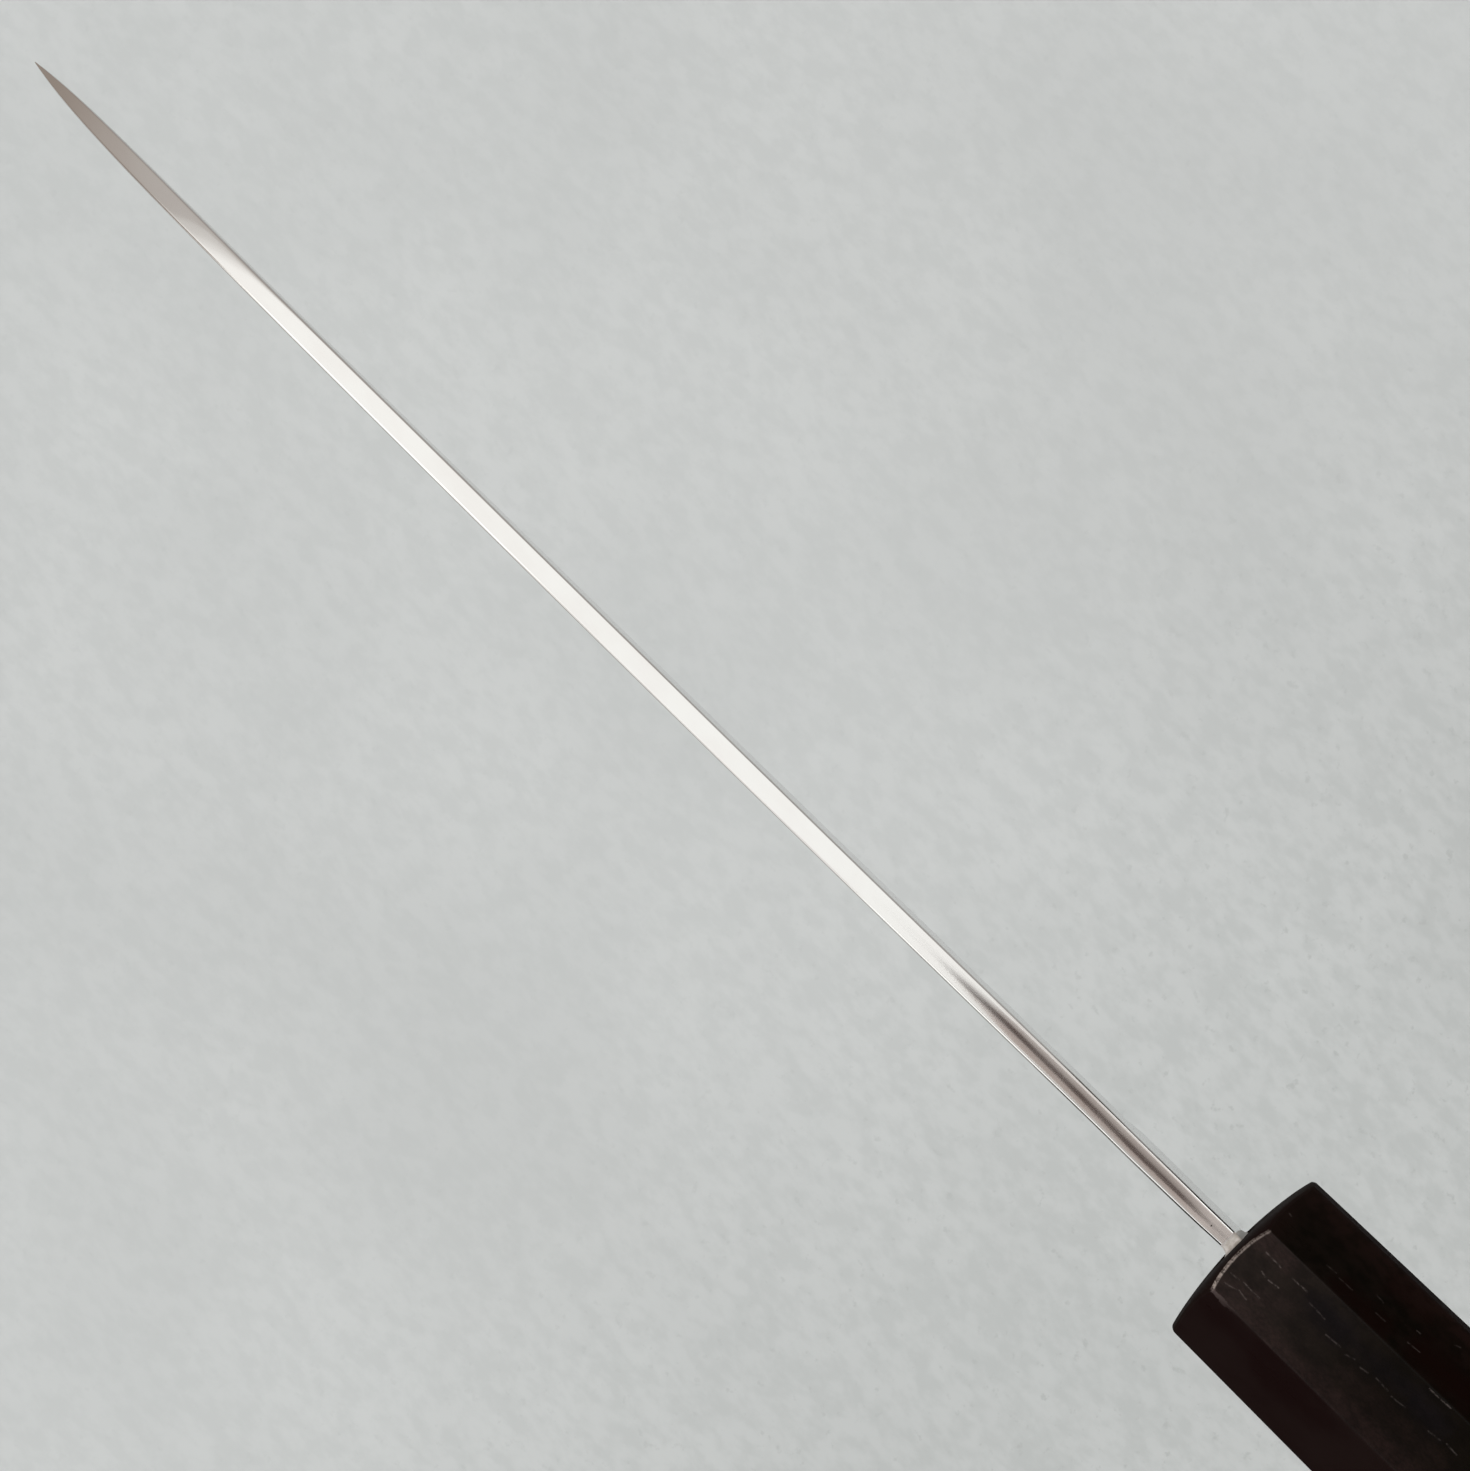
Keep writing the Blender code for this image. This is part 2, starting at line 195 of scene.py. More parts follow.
def spine_half(distance):
    """Half thickness at the spine: a slight straight taper times one that dies away at the point."""
    taper = 1 - DISTAL_TAPER * (1 - distance / BLADE_REACH)
    full = SPINE_THICKNESS / 2 * taper * (1 - np.exp(-distance / TIP_THINNING))
    return full - neck_waist(distance + TIP_X)


def corner_ease(distance):
    """Radius of the polished corners, which shrinks with the thickness towards the point."""
    return SPINE_EASE * np.tanh(1.5 * spine_half(distance))


def crown_end(half, ease, crown):
    """Where a round spine meets its corner: the half width there, and the slope."""
    slope = (half - ease) / crown
    return half - ease * (1 - np.sin(slope)), slope


def face_half(x, z):
    """Half thickness at a point of the side view: shoulder + rest * (1 - depth ** power), then bevel."""
    distance = x - TIP_X
    top, bottom, half = spine_level(distance), edge_level(distance), spine_half(distance)
    ease, bevel = corner_ease(distance), bevel_height(distance)
    flat, _ = crown_end(half, ease, SPINE_CROWN_RADIUS)
    shoulder = np.minimum(EDGE_SHOULDER, 0.5 * half)
    power = blend(GRIND_POWER, FLAT_POWER, smooth_step((distance - BLADE_LENGTH) / GRIND_RUN_OUT))
    start = top - flat * flat / (2 * SPINE_CROWN_RADIUS) - ease
    depth = np.clip((start - z) / (start - bottom - bevel), 0.0, 1.0)
    ground = shoulder + (half - shoulder) * (1 - depth ** power)
    return ground * np.clip((z - bottom) / bevel, 0.0, 1.0)


# %% [markdown]
# The blade sits three tenths of a millimetre to one side of the handle's middle and bows a little.
# On a strip two millimetres wide that shows, so it is modelled, and so are the long shallow hollow
# along its right face and the worn corner near its tip.

# %% The blade's middle line and its underside
LEAN, LEAN_SLOPE, LEAN_BOW = 0.314, 0.623, 0.484
NECK_SHIFT, SHIFT_START, SHIFT_END = 0.04, -18.0, -5.0
HEEL_RUN, SPINE_STOPS = 18.0, (141.5, 148.5, 155.8)
EDGE_ROWS, EDGE_CROWDING, PATH_ROWS = 260, 1.7, (36, 28, 28, 24)


def middle_line(x):
    """Sideways place of the blade: a parabola that dies out in the handle, less a shift of the neck."""
    t = np.minimum(x, 0.0) / 100
    inside = 1 - smooth_step(x / 10)
    beside = NECK_SHIFT * smooth_step((x - SHIFT_START) / 6) * (1 - smooth_step((x - SHIFT_END) / 4))
    return (LEAN + LEAN_SLOPE * t + LEAN_BOW * t * t) * inside - beside


def underside_path():
    """Spine distance, underside x and z, the inward direction's angle and the wall's share, row by row.

    The path is the edge, the upright heel, a quarter circle and the neck's underside. SPINE_STOPS
    are the spine points over the heel's foot and over both ends of the quarter circle.
    """
    corner = BLADE_LENGTH - HEEL_RUN
    tip_part = TIP_BLUNTNESS + (corner - TIP_BLUNTNESS) * np.linspace(0, 1, EDGE_ROWS) ** EDGE_CROWDING
    wall = HEEL_HEIGHT - NECK_HEIGHT - CHOIL_RADIUS
    under = NECK_END_X - HEEL_X - CHOIL_RADIUS
    knots = np.cumsum([0.0, HEEL_RUN, wall, CHOIL_RADIUS * math.pi / 2, under])
    length = np.concatenate([np.linspace(a, b, n, endpoint=False) for a, b, n in
                             zip(knots, knots[1:], PATH_ROWS)] + [knots[-1:]])
    top = np.interp(length, knots, [corner, *SPINE_STOPS, NECK_END_X - TIP_X])
    turn = np.clip((length - knots[2]) / CHOIL_RADIUS, 0.0, math.pi / 2)
    x = HEEL_X - np.maximum(0.0, knots[1] - length) + CHOIL_RADIUS * (1 - np.cos(turn))
    x = x + np.maximum(0.0, length - knots[3])
    z = SPINE_ABOVE_AXIS - HEEL_HEIGHT + np.clip(length - knots[1], 0.0, wall) + CHOIL_RADIUS * np.sin(turn)
    angle = math.pi / 2 * (1 + smooth_step((length - knots[1] + 1.5) / 3.0)) - turn
    wall_style = smooth_step((length - knots[1]) / 0.6)
    front = np.zeros_like(tip_part)
    edge_part = tip_part, TIP_X + tip_part, edge_level(tip_part), front + math.pi / 2, front
    rest = top, x, z, angle, wall_style
    return [np.concatenate([a, b[1:]])[:, None] for a, b in zip(edge_part, rest)]


# %% The blade's sections
CROWN_STEPS, CORNER_STEPS, FACE_STEPS, CLOSING_STEPS = 8, 11, 31, 6
WALL_ROUND, BEVEL_CLOSED = 0.25, 0.965


def sections(top_x, top_z, half, ease, under_x, under_z, inward, wall_style, bevel, thickness, crown):
    """A closed ring a row: crown, round corner, face, then bevel or rounded wall, and the mirror image."""
    flat, slope = crown_end(half, ease, crown)
    crown_y = flat * np.linspace(0, 1, CROWN_STEPS)[None, :]
    crown_z = top_z - crown_y ** 2 / (2 * crown)
    psi = slope + (math.pi / 2 - slope) * np.linspace(0, 1, CORNER_STEPS)[None, 1:]
    corner_y = flat + ease * (np.sin(psi) - np.sin(slope))
    corner_z = crown_z[:, -1:] - ease * (np.cos(slope) - np.cos(psi))
    inset = blend(bevel, WALL_ROUND, wall_style)
    down = np.linspace(0, 1, FACE_STEPS)[None, 1:]
    face_x = blend(top_x, under_x + inset * np.cos(inward), down)
    face_z = blend(corner_z[:, -1:], under_z + inset * np.sin(inward), down)
    face_y = thickness(face_x, face_z)
    turn = np.linspace(0, 1, CLOSING_STEPS)[None, 1:] * math.pi / 2
    left_over = inset * blend(1 - turn / (math.pi / 2) * BEVEL_CLOSED, 1 - np.sin(turn), wall_style)
    close_x = under_x + left_over * np.cos(inward)
    close_z = under_z + left_over * np.sin(inward)
    rounding = np.minimum(WALL_ROUND, 0.8 * face_y[:, -1:]) * (1 - np.cos(turn)) * wall_style
    close_y = blend(thickness(close_x, close_z), face_y[:, -1:] - rounding, wall_style)
    zero = np.zeros_like(top_x)
    x = np.concatenate([top_x + 0 * crown_y, top_x + 0 * corner_y, face_x, close_x, under_x], axis=1)
    y = np.concatenate([crown_y, corner_y, face_y, close_y, zero], axis=1)
    z = np.concatenate([crown_z, corner_z, face_z, close_z, under_z + zero], axis=1)
    ring = [np.concatenate([a, sign * a[:, -2:0:-1]], axis=1) for a, sign in ((x, 1), (y, -1), (z, 1))]
    return np.stack(ring, axis=-1)


# %% The tang's numbers, and the wear of the blade
TANG_HEIGHT, TANG_END_HEIGHT = 9.0, 5.0
TANG_THICKNESS, TANG_END_THICKNESS = 1.7, 1.4
TANG_LENGTH, SHOULDER_STEP_TOP = 74.0, 1.5
TANG_MIDDLE = SPINE_ABOVE_AXIS - SHOULDER_STEP_TOP - TANG_HEIGHT / 2
TANG_ROWS, TANG_EASE, TANG_CROWN_RADIUS, TANG_POINT = 16, 0.2, 60.0, 0.55
WEAR, WEAR_X, WEAR_LENGTH, WEAR_HEIGHT = 0.07, -140.0, 14.0, 4.0
FULLER, FULLER_START, FULLER_RISE, FULLER_END, FULLER_FALL = 0.07, -132.0, 30.0, -24.0, 10.0


def tang_sections():
    """Rounded bars from the shoulders on, that shrink evenly, the last one to a blunt point."""
    share = np.linspace(0, 1, TANG_ROWS)[:, None]
    tall = blend(TANG_HEIGHT, TANG_END_HEIGHT, share) / 2 * np.where(share > 0.97, TANG_POINT, 1.0)
    half = blend(TANG_THICKNESS, TANG_END_THICKNESS, share) / 2
    x = NECK_END_X + (SHOULDER_X + TANG_LENGTH - NECK_END_X) * share
    same = 0 * half
    return sections(x, TANG_MIDDLE + tall, half, TANG_EASE + same, x, TANG_MIDDLE - tall, math.pi / 2 + same,
                    1 + same, WALL_ROUND, lambda px, pz: half + 0 * px, TANG_CROWN_RADIUS)


def blade_grid():
    """Blade and neck from tip to handle, then the tang; worn, hollowed and bowed."""
    top, *under, wall_style = underside_path()
    outer = sections(TIP_X + top, spine_level(top), spine_half(top), corner_ease(top), *under, wall_style,
                     bevel_height(top), face_half, SPINE_CROWN_RADIUS)
    grid = np.concatenate([outer, tang_sections()])
    x = grid[..., 0]
    worn = WEAR * np.exp(-((x - WEAR_X) / WEAR_LENGTH) ** 2)
    side = np.clip(grid[..., 1] / (SPINE_THICKNESS / 2), 0.0, 1.0)
    near_top = np.clip(1 - (spine_level(x - TIP_X) - grid[..., 2]) / WEAR_HEIGHT, 0.0, 1.0)
    fuller = FULLER * smooth_step((x - FULLER_START) / FULLER_RISE)
    fuller = fuller * (1 - smooth_step((x - FULLER_END) / FULLER_FALL))
    grid[..., 2] -= worn * side ** 6 * near_top
    grid[..., 1] += (fuller - 0.7 * worn * near_top) * side
    grid[..., 1] += middle_line(x)
    return grid


# %% The blade as a piece, with a mask of its polished spine and the height above its edge
blade_points = blade_grid()
columns = np.arange(blade_points.shape[1])
columns = np.minimum(columns, blade_points.shape[1] - columns)
polished = (1 - smooth_step((columns - (CROWN_STEPS + CORNER_STEPS - 2)) / 2.0))[None, :]
above_edge = blade_points[..., 2] - edge_level(blade_points[..., 0] - TIP_X)
blade = piece_from_grid("blade_polished", blade_points,
                        values={"polish": polished, "above_edge": above_edge})
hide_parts("blade")

# %% [markdown]
# ## The handle
# One block of dark wood, planed to eight faces and swelling towards the butt. Its front end is
# crowned and its rim rolled off, most at the corners, so the rim is a row of shallow arcs like the
# end of a nut. The grid starts at the bottom of the slot for the tang, comes out of the mouth,
# spreads over the front end, runs back along the eight faces and closes over the butt.

# %% The handle's numbers and its outline
FRONT_WIDTH, FRONT_HEIGHT, FRONT_TOP_FACE = 19.4, 21.8, 7.9
BUTT_WIDTH, BUTT_HEIGHT, BUTT_TOP_FACE = 23.6, 24.9, 9.4
ARRIS_EASE, ARRIS_STEPS = 0.30, 9
CROWN_RADIUS, UPRIGHT_CROWN_RADIUS = 47.0, 600.0
RIM_EASE, RIM_POWER, RIM_ROUND = 0.37, 13.7, 0.25
SLOT_WIDTH, SLOT_HEIGHT, SLOT_BOTTOM_CLEARANCE = 3.4, 12.0, 3.0
SLOT_END = SHOULDER_X + TANG_LENGTH + SLOT_BOTTOM_CLEARANCE
FACE_SHARES = np.array([0.012, 0.05, 0.2, 0.35, 0.5, 0.65, 0.8, 0.95, 0.988])


def eased_octagon(width, height, top_face):
    """Points (y, z) round an octagon: each corner an arc, each face close-set near its arcs."""
    half_width, half_height, top_half = width / 2, height / 2, top_face / 2
    side_half = half_height - (half_width - top_half)
    quarter = [(top_half, half_height), (half_width, side_half)]
    right = quarter + [(y, -z) for y, z in reversed(quarter)]
    corners = np.array(right + [(-y, z) for y, z in reversed(right)])
    before, after = np.roll(corners, 1, axis=0), np.roll(corners, -1, axis=0)
    into = (corners - before) / np.linalg.norm(corners - before, axis=1)[:, None]
    out = (after - corners) / np.linalg.norm(after - corners, axis=1)[:, None]
    t = np.linspace(0, 1, ARRIS_STEPS)[None, :, None]
    first, last = corners - into * ARRIS_EASE, corners + out * ARRIS_EASE
    arc = (1 - t) ** 2 * first[:, None] + 2 * t * (1 - t) * corners[:, None] + t * t * last[:, None]
    face = blend(last[:, None], np.roll(first, -1, axis=0)[:, None], FACE_SHARES[None, :, None])
    return np.concatenate([arc, face], axis=1).reshape(-1, 2)


def slot_towards(outline):
    """The slot's rounded outline, in the direction of each point of the handle's outline."""
    straight = (SLOT_HEIGHT - SLOT_WIDTH) / 2
    turn = np.linspace(-math.pi, math.pi, 721)
    y = SLOT_WIDTH / 2 * np.sin(turn)
    z = SLOT_WIDTH / 2 * np.cos(turn) + straight * np.clip(np.cos(turn) * 1e3, -1, 1)
    wanted = np.arctan2(outline[:, 0], outline[:, 1] - TANG_MIDDLE)
    reach = np.interp(wanted, np.arctan2(y, z), np.hypot(y, z))
    return np.stack([reach * np.sin(wanted), reach * np.cos(wanted) + TANG_MIDDLE], axis=-1)


# %% The handle's two ends
RING_ROWS, RING_CROWDING, ROLL_ROWS = 40, 1.8, 9


def end_setback(y, z, height):
    """How far an end lies behind its foremost point: a crown, and a round roll-off near the rim."""
    crown = y * y / (2 * CROWN_RADIUS) + z * z / (2 * UPRIGHT_CROWN_RADIUS)
    return crown + RIM_EASE * (np.hypot(y, z) / (height / 2)) ** RIM_POWER


def end_rings(inner, outline, height):
    """Rings (setback, y, z) from the inner outline to the rim: the end, then a small quarter round."""
    out = outline - inner
    length = np.linalg.norm(out, axis=1)[:, None]
    share = 1 - (1 - np.linspace(0, 1, RING_ROWS)[:, None, None]) ** RING_CROWDING
    flat = inner + out * share * (1 - RIM_ROUND / length)
    turn = np.linspace(0, math.pi / 2, ROLL_ROWS)[1:, None, None]
    rolled = inner + out * (1 - RIM_ROUND * (1 - np.sin(turn)) / length)
    places = np.concatenate([flat, rolled])
    drop = np.concatenate([np.zeros(len(flat)), RIM_ROUND * (1 - np.cos(turn[:, 0, 0]))])
    setback = end_setback(places[..., 0], places[..., 1], height) + drop[:, None]
    return np.concatenate([setback[..., None], places], axis=-1)


# %% The handle's grid
SLOT_ROWS, SLOT_CLOSED, BUTT_HEART = 20, 0.3, 0.02
SIDE_ROWS, SIDE_CROWDING = 60, 0.14
RIM_REACH = 3.0


def handle_grid():
    """Slot, front end, eight faces and butt as one run of rings, with the worn-rim mask."""
    front = eased_octagon(FRONT_WIDTH, FRONT_HEIGHT, FRONT_TOP_FACE)
    butt = eased_octagon(BUTT_WIDTH, BUTT_HEIGHT, BUTT_TOP_FACE)
    front_size, butt_size = np.linalg.norm(front, axis=1), np.linalg.norm(butt, axis=1)
    slot = slot_towards(front)
    mouth = end_rings(slot, front, FRONT_HEIGHT)
    mouth[..., 1:] *= blend(1.0, butt_size / front_size, mouth[..., 0] / HANDLE_LENGTH)[..., None]
    inside = blend(mouth[0, :, 0], SLOT_END, np.linspace(1, 0, SLOT_ROWS)[:, None])
    slot_rings = np.stack([inside, slot[:, 0] + 0 * inside, slot[:, 1] + 0 * inside], axis=-1)
    shut = slot_rings[:1] * [1, SLOT_CLOSED, SLOT_CLOSED] + [0, 0, (1 - SLOT_CLOSED) * TANG_MIDDLE]
    tail = end_rings(BUTT_HEART * butt, butt, BUTT_HEIGHT)
    tail[..., 0] = HANDLE_LENGTH - tail[..., 0]
    tail[..., 1:] *= blend(front_size / butt_size, 1.0, tail[..., 0] / HANDLE_LENGTH)[..., None]
    run = np.linspace(0, 1, SIDE_ROWS)[1:-1, None]
    run = run - SIDE_CROWDING * np.sin(2 * math.pi * run)
    x = blend(mouth[-1, :, 0], tail[-1, :, 0], run)
    sides = blend(front, butt, (x / HANDLE_LENGTH)[..., None])
    side_rings = np.concatenate([x[..., None], sides], axis=-1)
    grid = np.concatenate([shut, slot_rings[:-1], mouth, side_rings, tail[::-1]])
    step = np.linalg.norm(np.diff(grid, axis=0), axis=2)
    travelled = np.concatenate([np.zeros((1, grid.shape[1])), np.cumsum(step, axis=0)])
    rim_row = len(slot_rings) + len(mouth) - 1
    behind_rim = np.clip(travelled - travelled[rim_row], -RIM_REACH, RIM_REACH)
    end_grain = np.zeros(len(grid))
    end_grain[: rim_row - 1] = 1.0
    end_grain[1 - len(tail):] = 1.0
    return grid, behind_rim, end_grain[:, None]


handle_points, behind_rim, end_grain = handle_grid()
handle = piece_from_grid("handle_planed", handle_points,
                         values={"behind_rim": behind_rim, "end_grain": end_grain})
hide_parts("handle_body")

# %% [markdown]
# ## The mouth seal
# Where the neck goes into the wood, the gap is filled with a pale resin, wiped into a small bead.
# The grid of this ring closes on itself both round the neck and through the section: from the
# feather edge on the steel, out over the wood, down the slot and back along the tang. A few sines
# make it slightly uneven, as wiping by hand does.

# %% The seal's numbers
SEAL_DEPTH, SEAL_FLARE, SEAL_REACH, SEAL_RIGHT_SHARE = 4.0, 0.58, 1.02, 0.30
FLARE_ROWS, FLARE_POWER, FEATHER = 26, 2.2, 0.015
CREEP, RAGGED_REACH, SIT_PROUD = 0.62, 0.10, 0.02
UNEVEN_ACROSS, UNEVEN_UP = 0.022, 0.006
CORNER_POINTS, SIDE_POINTS = 14, 12


def rounded_box(half_y, half_z, radius, middle_z):
    """Points round a box with round corners; every array in has one row a ring."""
    y_parts, z_parts = [], []
    for sign_y, sign_z, start in ((1, 1, 0.0), (1, -1, 0.5), (-1, -1, 1.0), (-1, 1, 1.5)):
        turn = (start + np.linspace(0, 0.5, CORNER_POINTS)) * math.pi
        y_parts.append(sign_y * (half_y - radius) + radius * np.sin(turn)[None, :])
        z_parts.append(sign_z * (half_z - radius) + radius * np.cos(turn)[None, :] + middle_z)
        side = np.linspace(0, 1, SIDE_POINTS)[None, 1:-1]
        if sign_y == sign_z:
            y_parts.append(sign_y * half_y + 0 * side)
            z_parts.append(middle_z + sign_z * (half_z - radius) * (1 - 2 * side))
    return np.concatenate(y_parts, axis=1), np.concatenate(z_parts, axis=1)


# %% The seal's ring
def seal_grid():
    """Rings through the seal's section; how far each stands off the neck makes the bead's hollow.

    On the steel the bead reaches furthest at the top, and less by a straight law down the neck.
    """
    neck_half = SPINE_THICKNESS / 2 - neck_waist(-0.5)
    neck_z = SPINE_ABOVE_AXIS - NECK_HEIGHT / 2
    t = np.linspace(0, 1, FLARE_ROWS)[:, None]
    off = FEATHER + SEAL_FLARE * (1 - np.sqrt(np.maximum(0.0, 1 - t ** FLARE_POWER)))
    y, z = rounded_box(neck_half + off, NECK_HEIGHT / 2 + off, SPINE_EASE + 0.9 * off, neck_z)
    turned = np.arctan2(y, (z - neck_z) / 3)
    uneven = 0.5 * np.sin(3 * turned + 0.4) + 0.3 * np.sin(7 * turned + 2.0) + 0.2 * np.sin(13 * turned)
    y = y * (1 + UNEVEN_ACROSS * t * uneven)
    y = np.where(y > neck_half, neck_half + (y - neck_half) * SEAL_RIGHT_SHARE, y)
    z = neck_z + (z - neck_z) * (1 + UNEVEN_UP * t * uneven)
    depth = np.clip(0.5 - (z - neck_z) / NECK_HEIGHT, 0.0, 1.0)
    flare_x = (CREEP * depth - SEAL_REACH + RAGGED_REACH * uneven) * (1 - t) + SIT_PROUD * t
    inner = neck_half - 0.05
    # Each line is a ring of the plug: x, half width, half height, corner radius, middle height
    plug_x, half, tall, corner, middle = np.array([
        (0.45, 1.72, 6.0, 1.2, TANG_MIDDLE),
        (0.7, 1.69, 5.98, 1.2, TANG_MIDDLE),
        (SEAL_DEPTH, 1.69, 5.98, 1.2, TANG_MIDDLE),
        (SEAL_DEPTH, 0.95, 4.6, 0.3, TANG_MIDDLE),
        (0.1, 0.92, 4.55, 0.3, TANG_MIDDLE),
        (-0.25, 0.92, 4.55, 0.3, TANG_MIDDLE),
        (-0.28, inner, 6.4, 0.25, neck_z),
        (-0.9, inner, 6.4, 0.25, neck_z),
    ]).T[:, :, None]
    plug_y, plug_z = rounded_box(half, tall, corner, middle)
    plug = np.stack([plug_x + 0 * plug_y, plug_y, plug_z], axis=-1)
    grid = np.concatenate([np.stack([flare_x, y, z], axis=-1), plug])
    grid[..., 1] += middle_line(grid[..., 0])
    return grid


seal = piece_from_grid("mouth_bead", seal_grid(), ring_of_rows=True)
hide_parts("mouth_seal")

# %% [markdown]
# ## Nodes in a few words
# A finish is a small graph of nodes. One class has a short word for each node that the finishes
# and the groups use. A second adds what a material has: its shader, and the point on the object.


# %% Words for nodes
class Graph:
    """A node tree, and one short word for each kind of node put into it."""

    def __init__(self, tree):
        self.tree = tree

    def feed(self, target, value):
        """Link a socket to an input, or type a value in; a typed colour gets an alpha of 1."""
        if isinstance(value, bpy.types.NodeSocket):
            self.tree.links.new(value, target)
        else:
            target.default_value = (*value, 1.0) if target.type == "RGBA" else value

    def put(self, kind, *values, sockets=(), **settings):
        """One node: settings are its properties, values fill its inputs in order and sockets by name."""
        made = self.tree.nodes.new("ShaderNode" + kind)
        for key, value in settings.items():
            setattr(made, key, value)
        for key, value in [*enumerate(values), *dict(sockets).items()]:
            self.feed(made.inputs[key], value)
        return made

    def math(self, operation, first, second=0.0, third=0.0, clamp=False):
        """One sum on numbers."""
        return self.put("Math", first, second, third, operation=operation, use_clamp=clamp).outputs[0]

    def times(self, first, *others):
        """All of the numbers multiplied, from the left."""
        for other in others:
            first = self.math("MULTIPLY", first, other)
        return first

    def total(self, base, *parts):
        """The base, plus each part's value times its factor."""
        for value, factor in parts:
            base = self.math("MULTIPLY_ADD", value, factor, base)
        return base

    def vector(self, operation, first, second, output=0):
        """One sum on vectors; output 0 is a vector and 1 a number."""
        return self.put("VectorMath", first, second, operation=operation).outputs[output]

    def ramp(self, value, low, high, start=0.0, end=1.0, kind="SMOOTHSTEP"):
        """value from low to high becomes start to end, clamped."""
        return self.put("MapRange", value, low, high, start, end, interpolation_type=kind).outputs[0]

    def mix(self, share, first, second, mode="MIX"):
        """Colour between first and second."""
        colours = {0: share, 6: first, 7: second}
        return self.put("Mix", sockets=colours, data_type="RGBA", blend_type=mode).outputs[2]

    def between(self, share, first, second):
        """Number between first and second."""
        return self.put("Mix", sockets={0: share, 2: first, 3: second}).outputs[0]

    def noise(self, point, scale, detail=2.0, roughness=0.5, output="Fac"):
        """Plain fractal noise, 0 to 1, as a number or as a colour."""
        sockets = {"Vector": point, "Scale": scale, "Detail": detail, "Roughness": roughness}
        return self.put("TexNoise", sockets=sockets).outputs[output]

    def stretched(self, point, scale):
        """The point, scaled along each axis, so that a pattern runs along the knife."""
        return self.put("Mapping", point, sockets={"Scale": scale}).outputs[0]

    def split(self, point):
        """The three coordinates of a point."""
        return self.put("SeparateXYZ", point).outputs[:]

    def group(self, tree, **sockets):
        """A group placed in the tree; underscores in the names stand for spaces."""
        sockets = {key.replace("_", " "): value for key, value in sockets.items()}
        return self.put("Group", sockets=sockets, node_tree=tree).outputs

    def attribute(self, name):
        """A value that the mesh carries at each of its points."""
        return self.put("Attribute", attribute_name=name).outputs["Fac"]


class Finish(Graph):
    """A material: its tree, its shader and the point on the object in millimetres from the datum."""

    def __init__(self, name):
        self.material = bpy.data.materials.new(name)
        self.material.use_nodes = True
        super().__init__(self.material.node_tree)
        self.shader = self.tree.nodes["Principled BSDF"]
        place = self.put("TexCoord").outputs["Object"]
        from_datum = {"Scale": (1 / MM, 1 / MM, 1 / MM), "Location": tuple(-DATUM)}
        self.point = self.put("Mapping", place, sockets=from_datum).outputs[0]

    def give(self, **values):
        """Link or set inputs of the shader."""
        for key, value in values.items():
            self.feed(self.shader.inputs[key.replace("_", " ")], value)

    def bump(self, height, strength, distance):
        """Fine relief, distance in metres, into the shader's normal."""
        sockets = {"Height": height, "Strength": strength, "Distance": distance}
        self.give(Normal=self.put("Bump", sockets=sockets).outputs[0])

    def dress(self, piece):
        """The finish on a piece, in place of any other."""
        piece.data.materials.clear()
        piece.data.materials.append(self.material)
        print(piece.name, "wears", self.material.name, "with", len(self.tree.nodes), "nodes")


def new_group(name, inputs, *outputs):
    """An empty node group, from the starting values of its inputs and the names of its outputs."""
    tree = bpy.data.node_groups.new(name, "ShaderNodeTree")
    for key, value in inputs.items():
        kind = "NodeSocketFloat" if isinstance(value, float) else "NodeSocketVector"
        tree.interface.new_socket(name=key, in_out="INPUT", socket_type=kind).default_value = value
    for key in outputs:
        tree.interface.new_socket(name=key, in_out="OUTPUT", socket_type="NodeSocketFloat")
    return Graph(tree), tree.nodes.new("NodeGroupInput").outputs, tree.nodes.new("NodeGroupOutput").inputs


# %% [markdown]
# ## Effects that more than one finish uses
# Hand-finished steel, wood and resin all vary a little from place to place, and steel and wood
# carry fine marks along the direction of rubbing. Those two effects are groups, built once.

# %% Cloud and rubbing marks
cloud, given, result = new_group("cloud", {
    "Point": (0.0, 0.0, 0.0), "Scale": 0.2, "Stretch": (1.0, 1.0, 1.0), "Low": 0.3, "High": 0.7}, "Value")
patch = cloud.vector("MULTIPLY", given["Point"], given["Stretch"])
clouded = cloud.noise(patch, given["Scale"], 4.0, 0.55)
cloud.feed(result["Value"], cloud.ramp(clouded, given["Low"], given["High"]))

marks, given, result = new_group("rubbing_marks", {
    "Point": (0.0, 0.0, 0.0), "Stretch": (0.05, 1.0, 1.0), "Fineness": 12.0}, "Height", "Mask")
patch = marks.vector("MULTIPLY", given["Point"], given["Stretch"])
fine = marks.noise(patch, given["Fineness"], 5.0, 0.65)
coarse = marks.noise(patch, marks.times(given["Fineness"], 0.21))
marks.feed(result["Height"], marks.total(fine, (coarse, 0.5)))
marks.feed(result["Mask"], marks.ramp(fine, 0.42, 0.68))


def cloud_on(finish, scale, stretch=(1.0, 1.0, 1.0), low=0.3, high=0.7):
    """The cloud, placed in a finish."""
    made = finish.group(cloud.tree, Point=finish.point, Scale=scale, Stretch=stretch, Low=low, High=high)
    return made["Value"]


def marks_on(finish, stretch, fineness):
    """The rubbing marks, placed in a finish."""
    return finish.group(marks.tree, Point=finish.point, Stretch=stretch, Fineness=fineness)
